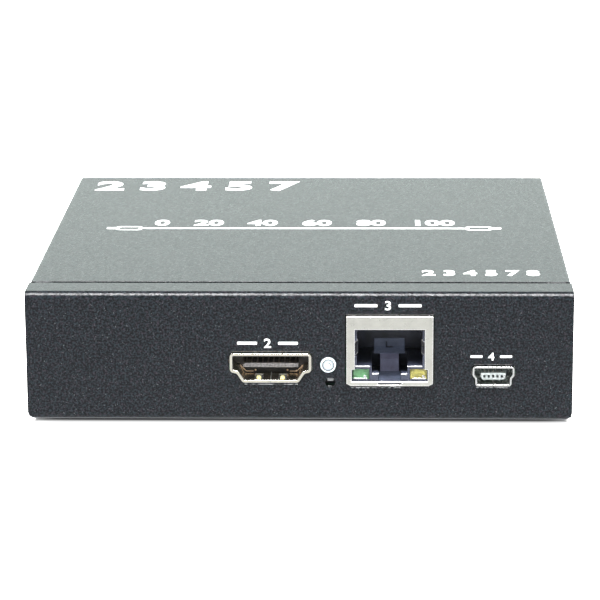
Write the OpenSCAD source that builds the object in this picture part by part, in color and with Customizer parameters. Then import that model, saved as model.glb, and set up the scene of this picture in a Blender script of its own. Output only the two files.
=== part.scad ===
// Receiver box of a video extender: a bent sheet case round a circuit board.
// The front carries the video, network and service sockets, a status light and a reset switch.
// The rear carries the link socket, two infrared jacks and the power jack.
// The front wall of the tray folds into a lip, and the cover runs from it to the rear edge.
// Millimetres, Z up, front towards -Y. The origin is under the middle of the case, at its feet.

/* [Case] */
// Width of the case, left to right
case_w = 100; // [92:1:130]
// Depth of the case, front wall to rear wall
case_d = 100; // [94:1:130]
// Height of the case without its feet
case_h = 24.2; // [23.6:0.2:32]
// Thickness of the sheet that the tray and the cover are bent from
sheet_t = 1; // [0.8:0.1:1.2]
// Inner radius of the bends in the tray
bend_inner_r = 0.4; // [0.2:0.1:0.8]
// Radius of the lower corners of the front wall
corner_r = 1.8; // [1:0.1:3]
// Depth of the lip that the front wall folds into
lip_d = 7.3; // [6:0.1:10]
// Width of the seam between the lip and the cover
seam_w = 1.1; // [0.6:0.1:1.6]
// Outer radius of the bends in the cover
cover_bend_r = 0.6; // [0.4:0.1:1.4]
// Width of the hook tabs at the front corners of the cover
tab_w = 4.3; // [3:0.1:6]
// How far the hook tabs reach under the lip
tab_reach = 4; // [2:0.5:5]
// Height of the rails along the sides of the tray
rail_h = 3.4; // [2.4:0.1:3.8]
// Height of the ears that take the cover screws
ear_h = 14.5; // [13:0.5:18]
// Length of the ears that take the cover screws
ear_l = 13; // [8:0.5:18]

/* [Case fits] */
// How far the sides of the cover stand inside the ends of the front wall
cover_inset = 0.05; // [0.05:0.05:0.4]
// Gap between the sides of the cover and the rails of the tray
side_fit = 0.15; // [0.05:0.05:0.3]
// Gap between the tray and what the cover laps over or under
lap_fit = 0.15; // [0.05:0.05:0.3]
// Gap between the front ends of the cover's sides and the front wall
wall_fit = 0.3; // [0.1:0.05:0.6]
// How far the lower edges of the cover stay above the underside of the tray
cover_lift = 0.3; // [0:0.1:1]
// Gap between a socket and its cut-out
port_gap = 0.25; // [0.15:0.05:0.4]

/* [Feet] */
// Radius of a rubber foot
foot_r = 4.5; // [3:0.5:6]
// Height of a rubber foot
foot_h = 2; // [1:0.25:3]
// Distance of a foot's middle from the side of the case
foot_side = 16; // [9:0.5:20]
// Distance of a foot's middle from the front or rear of the case
foot_end = 14; // [9:0.5:20]

/* [Cover screws] */
// Radius of the thread of a cover screw
side_screw_r = 1.5; // [1.25:0.05:1.75]
// Radius of the countersunk head of a cover screw
side_head_r = 2.5; // [2.2:0.1:3]
// Length of a cover screw
side_screw_l = 5; // [4:0.5:6]
// Height of the cover screws above the underside of the tray
side_screw_h = 11; // [10:0.5:12]
// Distance of the cover screws from the front or rear of the case
side_screw_end = 20; // [18:0.5:26]

/* [Vents] */
// Number of vent slots in each side of the cover
vent_count = 9; // [3:2:11]
// Distance between vent slots
vent_pitch = 4; // [3:0.25:4.5]
// Width of a vent slot
vent_w = 1.6; // [1:0.1:2]
// Length of a vent slot
vent_l = 9; // [5:0.5:12]

/* [Board] */
// Height of the stand-offs under the board
standoff_h = 3.8; // [3.6:0.1:5]
// Radius of a stand-off
standoff_r = 2.75; // [2.4:0.05:3]
// Thickness of the circuit board
board_t = 1.6; // [1:0.1:2]
// Gap round the edge of the board
board_fit = 0.5; // [0.3:0.1:0.8]
// Distance of the board's screw holes from its sides
board_hole_side = 4.7; // [4:0.1:6]
// Distance of the board's screw holes from its front and rear edges
board_hole_end = 11.5; // [11:0.5:12.5]
// Radius of the thread of a board screw
board_screw_r = 1.5; // [1.2:0.05:1.6]
// Length of a board screw under its head
board_screw_l = 5; // [4:0.25:5.25]
// Radius of the head of a board screw
board_head_r = 2.75; // [2.4:0.05:3]
// Height of the head of a board screw
board_head_h = 1.9; // [1.4:0.1:2.2]

/* [Sockets] */
// How far the noses of the sockets stand out of the walls
port_proud = 0.4; // [0.2:0.05:0.8]
// Place of the video socket, across the front
video_x = -5.2; // [-12:0.1:-5]
// Place of the network socket, across the front
network_x = 16.58; // [16:0.25:20]
// Place of the service socket, across the front
service_x = 35.52; // [31:0.25:36]
// Place of the link socket, across the rear
link_x = -24; // [-28:0.5:-20]
// Place of the infrared output jack, across the rear
infrared_out_x = -3; // [-6:0.5:-2]
// Place of the infrared input jack, across the rear
infrared_in_x = 9; // [6:0.5:12]
// Place of the power jack, across the rear
power_x = 28; // [24:0.5:32]

/* [Video socket] */
// Outer width of the shell at its top
video_w = 14.9; // [14.6:0.1:15.4]
// Outer height of the shell
video_h = 5.5; // [5.4:0.1:6]
// Depth of the shell
video_d = 11; // [10:0.5:13]
// Wall of the shell
video_wall = 0.45; // [0.3:0.05:0.5]
// Height of the shell above the board
video_lift = 0.95; // [0.6:0.05:1.2]
// Height of the upright part of the shell's sides
video_side_h = 3.5; // [3.3:0.1:3.8]
// Outer width of the shell at its shoulders
video_shoulder_w = 12.4; // [12:0.1:12.8]
// Height of the shoulders
video_shoulder_h = 1.7; // [1.3:0.05:1.8]
// Outer width of the shell's flat bottom
video_base_w = 10.2; // [9.5:0.1:10.3]
// Width of the tongue
video_tongue_w = 10.05; // [9.6:0.05:10.3]
// Thickness of the tongue
video_tongue_t = 0.8; // [0.7:0.05:1]
// Height of the tongue above the shell's underside
video_tongue_h = 2.5; // [2.3:0.05:2.7]
// How far the tongue stays behind the nose
video_tongue_back = 1.6; // [1:0.1:2.5]
// Pitch of the contacts in one row
video_pitch = 1; // [0.95:0.01:1]

/* [Network and link sockets] */
// Outer width of the shield
jack_w = 15.8; // [15.6:0.1:16.4]
// Outer height of the shield
jack_h = 13.15; // [13:0.05:13.8]
// Depth of the shield
jack_d = 21.3; // [20:0.1:22]
// Height of the shield above the board
jack_lift = 0.35; // [0:0.05:0.45]
// Thickness of the shield
shield_t = 0.25; // [0.2:0.05:0.3]
// Width of the mouth in the shield
mouth_w = 12.8; // [12.4:0.1:13.2]
// Top of the mouth above the shield's underside
mouth_top = 10.65; // [10.5:0.05:11.2]
// Width of the lower part of the mouth, beside the lights
mouth_low_w = 13.9; // [13.6:0.1:14.2]
// Top of the lower part of the mouth
mouth_low_top = 3.1; // [3:0.05:3.4]
// Height of the band under the mouth
band_h = 0.83; // [0.75:0.01:1.2]
// Width of the slot in the band
band_slot_w = 4.33; // [4:0.1:4.8]
// Width of the space for the plug
plug_w = 12; // [11.8:0.1:12.2]
// Floor of the space for the plug, above the shield's underside
plug_floor = 3.62; // [3.5:0.02:4]
// Height of the space for the plug
plug_h = 7; // [6.8:0.05:7.2]
// Depth of the space for the plug
plug_d = 13; // [12:0.25:14]
// Width of the channel for the plug's latch
latch_w = 6.56; // [6.3:0.05:6.7]
// Width between the two stops that hold the latch
latch_gap_w = 4.2; // [4:0.1:4.4]
// Top of the latch stops above the shield's underside
latch_stop_top = 2.37; // [2.2:0.01:2.8]
// Depth of the latch stops
latch_stop_d = 1.5; // [1.2:0.1:2]
// Width of the ramp in the floor of the latch channel
ramp_w = 3.5; // [3:0.1:4]
// Width of a light beside the latch channel
light_w = 3; // [2.8:0.05:3.05]
// Height of a light beside the latch channel
light_h = 1.85; // [1.75:0.05:2.05]
// Length of a light
light_l = 11.5; // [10:0.5:12]
// Distance between the inner sides of the two lights
light_gap_w = 7.5; // [7.3:0.05:7.6]
// Pitch of the contacts
jack_pitch = 1.02; // [1:0.01:1.04]
// Number of contacts
jack_contact_count = 8; // [4:2:8]

/* [Service socket] */
// Outer width of the shell at its top
service_w = 7.6; // [7.5:0.1:8]
// Outer height of the shell
service_h = 3.7; // [3.6:0.1:4.1]
// Depth of the shell
service_d = 9.2; // [8.6:0.1:9.6]
// Wall of the shell
service_wall = 0.3; // [0.25:0.05:0.35]
// Height of the shell above the board
service_lift = 0.34; // [0.1:0.02:0.4]
// Outer width of the lower part of the shell
service_base_w = 6.6; // [6.3:0.1:6.7]
// Height of the upright part of the wide sides
service_side_h = 1.75; // [1.6:0.05:1.9]
// Top of the narrow sides above the shell's underside
service_step_h = 1.44; // [1.3:0.02:1.6]
// Width of the tongue
service_tongue_w = 4.54; // [4.4:0.02:4.6]
// Thickness of the tongue
service_tongue_t = 1.32; // [1.2:0.02:1.35]
// Height of the tongue above the shell's underside
service_tongue_h = 0.91; // [0.85:0.02:1.1]
// Pitch of the contacts
service_pitch = 0.8; // [0.75:0.01:0.82]
// Number of contacts
service_contact_count = 5; // [3:2:5]

/* [Status light] */
// Place of the status light, across the front
status_x = 5.34; // [5:0.1:5.6]
// Height of the status light above the board
status_h = 4.22; // [4:0.05:5]
// Radius of the status light's lens
status_r = 1.42; // [1.3:0.02:1.6]
// Length of the lens in front of its flange
status_l = 4.2; // [3.6:0.1:5]

/* [Reset switch] */
// Place of the reset switch, across the front
reset_x = 5.7; // [5:0.1:6]
// Radius of the pinhole in front of the reset switch
reset_hole_r = 0.95; // [0.7:0.05:1.1]
// Height of the pinhole's middle above the board
reset_hole_h = 0.89; // [0.85:0.01:0.95]
// Height of the reset button's middle above the board
reset_h = 0.74; // [0.7:0.01:0.8]
// Travel of the reset button
reset_travel = 0.25; // [0.15:0.05:0.3]
// Width of the switch
switch_w = 4.7; // [4.4:0.1:4.9]
// Depth of the switch
switch_d = 3; // [2.8:0.1:3.5]
// Height of the switch's moulded body
switch_h = 1.5; // [1.45:0.05:1.8]
// Gap between the front wall and the switch's body
switch_setback = 1.6; // [1.4:0.1:2.4]

/* [Power jack] */
// Width of the power jack
power_w = 9; // [8.6:0.1:9.4]
// Height of the power jack
power_h = 11; // [10.6:0.1:11.4]
// Depth of the power jack
power_d = 14.2; // [13:0.1:15]
// Height of the power jack's axis above the board
power_axis_h = 6.4; // [6.2:0.1:6.6]
// Radius of the power jack's mouth
power_bore_r = 3.2; // [3:0.05:3.4]
// Depth of the power jack's mouth
power_bore_d = 9.5; // [9:0.1:10]
// Radius of the centre pin
power_pin_r = 1.05; // [0.95:0.05:1.25]

/* [Infrared jacks] */
// Width of an infrared jack
infrared_w = 6.4; // [6:0.1:7]
// Height of an infrared jack
infrared_h = 5.6; // [5.5:0.1:6]
// Depth of an infrared jack behind its nose
infrared_d = 11.5; // [11:0.1:13]
// Radius of an infrared jack's round nose
infrared_nose_r = 2.75; // [2.6:0.05:3]
// Length of an infrared jack's round nose
infrared_nose_l = 2.2; // [2:0.1:3]
// Radius of an infrared jack's bore
infrared_bore_r = 1.8; // [1.8:0.01:1.85]

/* [Board parts] */
// Side of the receiver chip
receiver_w = 20; // [17:1:22]
// Thickness of the receiver chip
receiver_t = 1.4; // [1:0.1:2]
// Side of the heat sink
sink_w = 24; // [20:1:26]
// Height of the heat sink
sink_h = 9; // [5:0.5:11]
// Number of fins on the heat sink
fin_count = 8; // [5:1:10]
// Radius of an electrolytic capacitor
can_r = 4; // [3:0.25:4.5]
// Height of an electrolytic capacitor
can_h = 10; // [8:0.5:12]
// Side of a power inductor
coil_w = 7; // [6:0.5:8]
// Height of a power inductor
coil_h = 3.5; // [2.5:0.5:4.5]

/* [Hidden] */
$fn = 48;

// Every cut runs past what it cuts by this much
over = 0.6;
// Steps in one rounded corner of an outline
corner_steps = 4;

// Levels, from the surface that the feet stand on
floor_z = foot_h;
top_z = floor_z + case_h;
board_z = floor_z + sheet_t + standoff_h;
board_top = board_z + board_t;

// Places along the depth
front_y = -case_d / 2;
nose_y = front_y - port_proud;
lip_y = front_y + lip_d;
seam_y = lip_y + seam_w;
wall_y = front_y + sheet_t;
screw_y = -front_y - side_screw_end;

// Sheet sizes that follow from the others
bend_r = bend_inner_r + sheet_t;
cover_w = case_w - 2 * cover_inset;
cover_z = floor_z + cover_lift;
tray_w = cover_w - 2 * sheet_t - 2 * side_fit;
tab_z = top_z - sheet_t - lap_fit;
// Slope round the underside of a foot
foot_edge = 0.5;
// Notch between a rail and a wall, which lets the sheet bend
relief = 0.6;
rail_l = case_d - 2 * (sheet_t + bend_inner_r + relief);
// Depth over which a hook tab steps down from the cover, and the slope on its upper side
joggle = 1.2;
tab_slope = 0.8;
// Inner radius of the bends in the cover
cover_inner_r = 0.2;
// Collar pulled out of an ear round its thread
collar_wall = 0.7;
collar_l = 1;
// Gap round the threads and shanks of screws
thread_gap = 0.05;
// Gap round the head of a cover screw
head_gap = 0.1;
// Cross recess in the heads of the screws
recess_w = 0.6;
recess_d = 0.5;
recess_share = 0.62;
// Height of the vents' middle, as a share of the case's height
vent_z_share = 0.54;

// Board
board_w = tray_w - 2 * sheet_t - 2 * board_fit;
board_l = case_d - 2 * sheet_t - 2 * board_fit;
board_hole_x = board_w / 2 - board_hole_side;
board_hole_y = board_l / 2 - board_hole_end;
board_hole_gap = 0.15;
// Part of a stand-off that is pressed into the tray
spigot_r = 2.1;
spigot_gap = 0.03;
// Gap round pegs and legs where they pass through the board
leg_gap = 0.15;
peg_gap = 0.05;
// How far pegs and legs stand out under the board
leg_out = 0.6;

// Video socket
video_corner_r = 0.7;
video_block_d = 5.7;
video_leg_w = 1.2;
video_leg_front = 3.7;
video_leg_back = 8.6;
video_contact_w = 0.3;
video_contact_t = 0.2;
video_contact_back = 0.5;
video_tail_l = 0.9;
// How far behind the shell each row of contacts turns down
video_turn_backs = [1.35, 0.45];
video_top_count = 10;
video_bottom_count = 9;
// Springs in the shell: half the distance between a pair, width, length, reach into the mouth
video_spring_x = 2.2;
video_spring_w = 1;
video_spring_l = 3.8;
video_spring_in = 0.85;
video_spring_front = 0.9;
spring_gap = 0.2;
// Gap where the ends of a folded shell meet
fold_gap = 0.1;
// Gap between a folded shell and the moulded block in it
block_fit = 0.05;

// Network and link sockets
housing_fit = 0.08;
housing_back = 0.1;
jack_chamfer_w = 0.8;
jack_chamfer_h = 0.4;
band_slot_low = 0.18;
band_slot_h = 0.45;
// Ramp in the latch channel: its front and back, the depth of its steep front, and that front's top
ramp_front = 6.7;
ramp_back = 11;
ramp_rise = 1.3;
ramp_top = 2.85;
peg_r = 1.6;
peg_x = 5.5;
peg_y = 9;
jack_leg_w = 1.6;
jack_leg_y = 13.5;
side_spring_low = 5.75;
side_spring_h = 2.5;
side_spring_l = 4;
side_spring_in = 0.45;
jack_contact_w = 0.35;
jack_contact_t = 0.3;
jack_contact_front = 4;
jack_contact_end = 10.4;
jack_contact_low = 8.25;
jack_tail_y = 16.5;
light_fit = 0.06;
light_back = 0.45;
light_lead_w = 0.5;
light_lead_x = 0.9;

// Service socket
service_corner_r = 0.5;
service_block_d = 2.6;
service_tongue_back = 1.2;
service_tongue_chamfer = 0.45;
service_hole_w = 0.42;
service_hole_h = 0.5;
service_hole_d = 2;
service_contact_w = 0.26;
service_contact_t = 0.12;
service_contact_rise = 0.42;
service_tail_l = 0.8;
service_leg_w = 1;
service_leg_front = 3.4;
service_leg_back = 7.6;

// Status light
status_proud = 0.2;
status_gap = 0.1;
status_flange = 0.45;
status_flange_t = 1;
status_groove_r = 0.94;
status_groove_w = 0.12;
status_groove_d = 0.12;
status_edge = 0.12;
status_lead_w = 0.5;
status_lead_x = 1.27;
status_lead_l = 1.6;

// Reset switch
button_w = 1.05;
button_h = 0.3;
button_out = 0.5;
button_flange_w = 2.6;
button_flange_t = 0.4;
button_gap = 0.1;
button_rest_gap = 0.05;
switch_wall = 0.5;
switch_y = wall_y + switch_setback;
switch_plate_t = 0.15;
switch_plate_low = 0.05;
dome_rise = 0.5;
dome_t = 0.1;
dome_w = 2.3;
dome_h = 0.7;

// Power jack
power_pin_l = 8.8;
power_pin_tip = 0.35;
// Radius of the centre pin's root, held in the body behind the mouth
power_pin_root_r = 1.45;
power_spring_w = 1.6;
power_spring_t = 0.3;
power_spring_l = 7.5;
power_spring_rise = 0.5;
power_spring_bed = 0.9;
power_leg_w = 2.4;
power_leg_t = 0.8;
power_leg_front = 7.5;
power_leg_back = 13.2;
// Radius of the power jack's upper corners
power_top_r = 3.6;

// Infrared jacks
infrared_axis_h = infrared_h / 2;
infrared_bore_d = 11;
infrared_window_w = 0.9;
infrared_window_l = 3;
infrared_window_front = 5;
infrared_leaf_t = 0.25;
infrared_leaf_gap = 0.05;
// Distance between the bore and the leaves beside it
infrared_leaf_off = 0.25;

// Board parts: body sizes as width, length, height, and places as shares of the board's width and length
pad_t = 0.5;
sink_base_t = 2;
fin_t = 1;
receiver_x_share = -0.148;
// Gap between the heat sink and the leads of the link transformer
sink_gap = 2;
transformer_size = [13, 9.5, 6];
transformer_leads = 10;
transformer_gap = 2.5;
network_chip_size = [12, 12, 1.2];
network_chip_leads = 12;
network_chip_at_share = [0.18, -0.149];
controller_size = [7, 7, 1.1];
controller_leads = 8;
controller_at_share = [0.36, -0.227];
memory_size = [5, 4, 1.6];
memory_leads = 4;
memory_at_share = [0.36, -0.113];
crystal_size = [11, 4.7, 3.6];
crystal_at_shares = [[0.011, -0.227], [0.011, -0.289]];
can_at_shares = [[0.159, 0.216], [0.381, 0.227], [0.381, 0.113]];
can_groove_h_share = 0.1;
can_groove_r_share = 0.94;
coil_at_shares = [[0.27, 0.206], [0.265, 0.098]];
coil_case_h_share = 0.9;
coil_core_share = 0.4;
coil_cut_share = 0.2;
regulator_size = [6.5, 3.6, 1.7];
regulator_at_share = [0.35, -0.021];
regulator_leads = 3;
// Tab behind the regulator: width, reach out of the body, length inside it
regulator_tab = [3, 1.8, 0.9];
lead_t = 0.2;
lead_out = 1;
lead_in = 0.25;
lead_w_share = 0.4;
chip_edge_share = 0.12;
// Small resistors and capacitors stand in blocks: place of each block, then its columns and rows
small_size = [1.6, 0.8, 0.6];
small_pitch = [2.6, 1.9];
small_block_shares = [
    [-0.381, -0.33], [-0.424, -0.124], [-0.424, 0.062], [-0.275, -0.289],
    [-0.212, -0.351], [0.032, 0.041], [0.021, 0.134], [0.328, -0.376],
    [0.418, -0.052]
];
small_block_counts = [[4, 3], [3, 5], [3, 4], [4, 3], [3, 2], [3, 3], [2, 3], [3, 2], [2, 4]];

// Outlines

// Whole outline from its right half, which is listed from the bottom up
function whole(half) = concat(half, [for (i = [len(half) - 1 : -1 : 0]) [-half[i][0], half[i][1]]]);
function unit(v) = v / norm(v);
function normal(a, b) = let(e = unit(b - a)) [-e[1], e[0]];

// Outline moved inwards by d, or outwards where d is negative
function inset(points, d) = let(n = len(points)) [for (i = [0 : n - 1])
    let(a = normal(points[(i + n - 1) % n], points[i]), b = normal(points[i], points[(i + 1) % n]))
    points[i] + (a + b) * d / (1 + a * b)];

// Outline with every corner rounded to radius r
function eased(points, r) = let(n = len(points)) [for (i = [0 : n - 1])
    let(p = points[i], u = unit(points[(i + n - 1) % n] - p), v = unit(points[(i + 1) % n] - p),
        half = acos(u * v) / 2, c = p + unit(u + v) * r / sin(half),
        s = p + u * r / tan(half) - c, e = p + v * r / tan(half) - c,
        from = atan2(s[1], s[0]), sweep = (atan2(e[1], e[0]) - from + 540) % 360 - 180)
    for (k = [0 : corner_steps])
        let(a = from + sweep * k / corner_steps) c + r * [cos(a), sin(a)]];

// Path of a bent strip, given as its middle line, made into a closed outline t thick
function strip(line, t) = let(n = len(line),
    side = [for (i = [0 : n - 1])
        let(a = normal(line[max(i - 1, 0)], line[max(i, 1)]),
            b = normal(line[min(i, n - 2)], line[min(i + 1, n - 1)]))
        (a + b) * t / 2 / (1 + a * b)])
    concat([for (i = [0 : n - 1]) line[i] + side[i]], [for (i = [n - 1 : -1 : 0]) line[i] - side[i]]);

function video_outline() = whole([
    [video_base_w / 2, 0],
    [video_shoulder_w / 2, video_shoulder_h],
    [video_w / 2, video_h - video_side_h],
    [video_w / 2, video_h]
]);

function service_outline() = whole([
    [service_base_w / 2, 0],
    [service_base_w / 2, service_step_h],
    [service_w / 2, service_h - service_side_h],
    [service_w / 2, service_h]
]);

function jack_outline() = whole([
    [jack_w / 2 - jack_chamfer_w, 0],
    [jack_w / 2, jack_chamfer_h],
    [jack_w / 2, jack_h]
]);

// Rectangle that stands on its base line, with all four corners round
module rounded_rect(w, h, r) {
    translate([-w / 2, r]) square([w, h - 2 * r]);
    translate([-w / 2 + r, 0]) square([w - 2 * r, h]);
    for (x = [-1, 1], y = [r, h - r]) translate([x * (w / 2 - r), y]) circle(r);
}

// Rectangle that stands on its base line, with its two upper corners round
module arch(w, h, r) {
    translate([-w / 2, 0]) square([w, h - r]);
    translate([-w / 2 + r, 0]) square([w - 2 * r, h]);
    for (x = [-1, 1]) translate([x * (w / 2 - r), h - r]) circle(r);
}

// Upright slot with round ends
module slot(w, h) {
    square([w, h - w], center = true);
    for (y = [-1, 1]) translate([0, y * (h - w) / 2]) circle(w / 2);
}

// Directions

// Profile drawn across depth and height, drawn out along the width
module along_x(w) rotate([90, 0, 90]) linear_extrude(w, center = true) children();
// Profile drawn across width and height, drawn out backwards from y
module along_y(y, l) translate([0, y + l, 0]) rotate([90, 0, 0]) linear_extrude(l) children();
// Upright box, centred across the width, from one corner in depth and height
module block(w, y, z, d, h) translate([-w / 2, y, z]) cube([w, d, h]);
// Shape drawn with its axis up, laid down to point out of the front
module facing_front() rotate([90, 0, 0]) children();
module both_sides() for (s = [-1, 1]) scale([s, 1, 1]) children();

// Sockets are drawn from the middle of their nose, at board level, and run back along +Y
module at_front(x) translate([x, nose_y, board_top]) children();
module at_rear(x) translate([x, -nose_y, board_top]) rotate([0, 0, 180]) children();
module on_board(share) translate([share[0] * board_w, share[1] * board_l, board_top]) children();

module at_corners(x, y) for (i = [-1, 1], j = [-1, 1]) translate([i * x, j * y, 0]) children();
module at_board_holes() at_corners(board_hole_x, board_hole_y) children();

// Cover screws stand with their heads flush in the sides of the cover
module at_side_screws() for (s = [-1, 1], y = [-screw_y, screw_y])
    translate([s * cover_w / 2, y, floor_z + side_screw_h]) rotate([0, s * 90, 0]) children();

// Cross recess, cut down from z = 0
module cross_recess(r) for (a = [0, 90]) rotate([0, 0, a])
    translate([-r * recess_share, -recess_w / 2, -recess_d])
        cube([2 * r * recess_share, recess_w, recess_d + over]);

// Head and shank of a cover screw, or its hole where gap is more than zero
module side_screw_shape(gap, out) {
    slope = (side_head_r - side_screw_r) / sheet_t;
    translate([0, 0, -sheet_t])
        cylinder(h = sheet_t + out, r1 = side_screw_r + gap, r2 = side_head_r + gap + out * slope);
    translate([0, 0, -side_screw_l])
        cylinder(h = side_screw_l - sheet_t / 2, r = side_screw_r + gap / 2);
}

// Case

module tray_profile() difference() {
    translate([0, floor_z]) rounded_rect(case_d, case_h, bend_r);
    translate([0, floor_z + sheet_t])
        rounded_rect(case_d - 2 * sheet_t, case_h - 2 * sheet_t, bend_inner_r);
    translate([lip_y, top_z - case_h / 2]) square([-2 * lip_y, case_h]);
    translate([0, tab_z]) square([case_d, case_h]);
}

// The front wall is as wide as the case, and the rear wall stands between the sides of the cover
module front_outline() translate([0, floor_z]) difference() {
    rounded_rect(case_w, case_h + 2 * corner_r, corner_r);
    translate([-case_w, case_h]) square([2 * case_w, case_h]);
}
module rear_outline() translate([0, floor_z]) rounded_rect(tray_w, tab_z - floor_z, bend_inner_r);

// Upturned side of the tray, up to a height over the floor
module side_profile(h) difference() {
    translate([0, floor_z]) rounded_rect(tray_w, case_h, bend_r);
    translate([0, floor_z + sheet_t]) rounded_rect(tray_w - 2 * sheet_t, case_h, bend_inner_r);
    translate([-tray_w, floor_z + h]) square([2 * tray_w, case_h]);
}

module front_cutouts() {
    at_front(video_x) along_y(-over, sheet_t + port_proud + 2 * over)
        translate([0, video_lift])
            polygon(eased(inset(video_outline(), -port_gap), video_corner_r + port_gap));
    at_front(network_x) along_y(-over, sheet_t + port_proud + 2 * over)
        translate([0, jack_lift]) polygon(inset(jack_outline(), -port_gap));
    at_front(service_x) along_y(-over, sheet_t + port_proud + 2 * over)
        translate([0, service_lift])
            polygon(eased(inset(service_outline(), -port_gap), service_corner_r + port_gap));
    translate([status_x, wall_y + over, board_top + status_h]) facing_front()
        cylinder(h = sheet_t + 2 * over, r = status_r + status_gap);
    translate([reset_x, wall_y + over, board_top + reset_hole_h]) facing_front()
        cylinder(h = sheet_t + 2 * over, r = reset_hole_r);
}

module rear_cutouts() {
    at_rear(link_x) along_y(-over, sheet_t + port_proud + 2 * over)
        translate([0, jack_lift]) polygon(inset(jack_outline(), -port_gap));
    for (x = [infrared_out_x, infrared_in_x]) at_rear(x)
        translate([0, sheet_t + port_proud + over, infrared_axis_h]) facing_front()
            cylinder(h = sheet_t + port_proud + 2 * over, r = infrared_nose_r + port_gap);
    at_rear(power_x) along_y(-over, sheet_t + port_proud + 2 * over)
        power_jack_outline(port_gap);
}

module base_tray() color("#3b3f42") difference() {
    union() {
        difference() {
            intersection() {
                along_x(case_w) tray_profile();
                union() {
                    along_y(front_y, -front_y) front_outline();
                    along_y(-over, over - front_y) rear_outline();
                }
            }
            both_sides() translate([tray_w / 2 - bend_r, wall_y, floor_z - over])
                cube([case_w, -2 * wall_y, over + bend_r]);
        }
        along_y(-rail_l / 2, rail_l) side_profile(rail_h);
        for (y = [-screw_y, screw_y]) along_y(y - ear_l / 2, ear_l) side_profile(ear_h);
        at_side_screws() translate([0, 0, -2 * sheet_t - side_fit - collar_l])
            cylinder(h = collar_l + sheet_t / 2, r = side_screw_r + collar_wall);
    }
    at_side_screws() translate([0, 0, -side_screw_l - over])
        cylinder(h = side_screw_l + over, r = side_screw_r + thread_gap);
    at_board_holes() translate([0, 0, floor_z - over])
        cylinder(h = sheet_t + 2 * over, r = spigot_r + spigot_gap);
    front_cutouts();
    rear_cutouts();
}

// Step down from the cover to the hook tab under a lip, across depth and height
module tab_profile() polygon([
    [lip_y - tab_reach, tab_z - sheet_t],
    [seam_y, tab_z - sheet_t],
    [seam_y + joggle, top_z - sheet_t],
    [seam_y + joggle, top_z],
    [seam_y, top_z],
    [seam_y - tab_slope, tab_z],
    [lip_y - tab_reach, tab_z]
]);

module cover_profile() difference() {
    translate([0, cover_z]) arch(cover_w, top_z - cover_z, cover_bend_r);
    translate([0, cover_z - over])
        arch(cover_w - 2 * sheet_t, top_z - cover_z - sheet_t + over, cover_inner_r);
}

// Front corner of the cover: the side runs on to the wall, and the tab hooks under the lip
module cover_corner() {
    translate([cover_w / 2 - sheet_t, wall_y + wall_fit, cover_z])
        cube([sheet_t, seam_y - wall_y - wall_fit + joggle, tab_z - cover_z]);
    translate([(case_w - tab_w) / 2 - sheet_t / 2 - cover_inset / 2, 0, 0])
        along_x(tab_w - sheet_t - cover_inset) tab_profile();
}

module top_cover() color("#3b3f42") difference() {
    union() {
        along_y(seam_y, -seam_y - front_y) cover_profile();
        both_sides() cover_corner();
    }
    at_side_screws() side_screw_shape(head_gap, over);
    for (i = [0 : vent_count - 1])
        translate([0, (i - (vent_count - 1) / 2) * vent_pitch, floor_z + case_h * vent_z_share])
            along_x(case_w) slot(vent_w, vent_l);
}

module cover_screws() color("black") at_side_screws() difference() {
    side_screw_shape(0, 0);
    cross_recess(side_head_r);
}

module rubber_feet() color("#202020") at_corners(case_w / 2 - foot_side, case_d / 2 - foot_end) {
    cylinder(h = foot_h / 2, r1 = foot_r - foot_edge, r2 = foot_r);
    translate([0, 0, foot_h / 2]) cylinder(h = foot_h / 2, r = foot_r);
}

// Circuit board and what holds it

module standoffs() color("silver") at_board_holes() difference() {
    union() {
        translate([0, 0, floor_z + sheet_t]) cylinder(h = standoff_h, r = standoff_r);
        translate([0, 0, floor_z]) cylinder(h = sheet_t + standoff_h / 2, r = spigot_r);
    }
    translate([0, 0, floor_z + sheet_t / 2])
        cylinder(h = standoff_h + sheet_t, r = board_screw_r + thread_gap);
}

// Holes and slots for pegs and legs, drawn in each socket's own place
module leg_slot(x, y, w, d) translate([x - w / 2 - leg_gap, y - d / 2 - leg_gap, -board_t - over])
    cube([w + 2 * leg_gap, d + 2 * leg_gap, board_t + 2 * over]);
module video_holes() both_sides() for (y = [video_leg_front, video_leg_back])
    leg_slot((video_w - video_wall) / 2, y, video_wall, video_leg_w);
module jack_holes() both_sides() {
    translate([peg_x, peg_y, -board_t - over]) cylinder(h = board_t + 2 * over, r = peg_r + peg_gap);
    leg_slot((jack_w - shield_t) / 2, jack_leg_y, shield_t, jack_leg_w);
}
module service_holes() both_sides() for (y = [service_leg_front, service_leg_back])
    leg_slot((service_w - service_wall) / 2, y, service_wall, service_leg_w);
module power_holes() for (y = [power_leg_front, power_leg_back])
    leg_slot(0, y, power_leg_w, power_leg_t);

module circuit_board() color("#14402c") difference() {
    translate([-board_w / 2, -board_l / 2, board_z]) cube([board_w, board_l, board_t]);
    at_board_holes() translate([0, 0, board_z - over])
        cylinder(h = board_t + 2 * over, r = board_screw_r + board_hole_gap);
    at_front(video_x) video_holes();
    at_front(network_x) jack_holes();
    at_front(service_x) service_holes();
    at_rear(link_x) jack_holes();
    at_rear(power_x) power_holes();
}

module board_screws() color("silver") at_board_holes() translate([0, 0, board_top]) difference() {
    union() {
        translate([0, 0, -board_screw_l])
            cylinder(h = board_screw_l + board_head_h / 2, r = board_screw_r);
        cylinder(h = board_head_h / 2, r = board_head_r);
        translate([0, 0, board_head_h / 2])
            cylinder(h = board_head_h / 2, r1 = board_head_r, r2 = board_head_r - board_head_h / 2);
    }
    translate([0, 0, board_head_h]) cross_recess(board_head_r);
}

// Video socket

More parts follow.
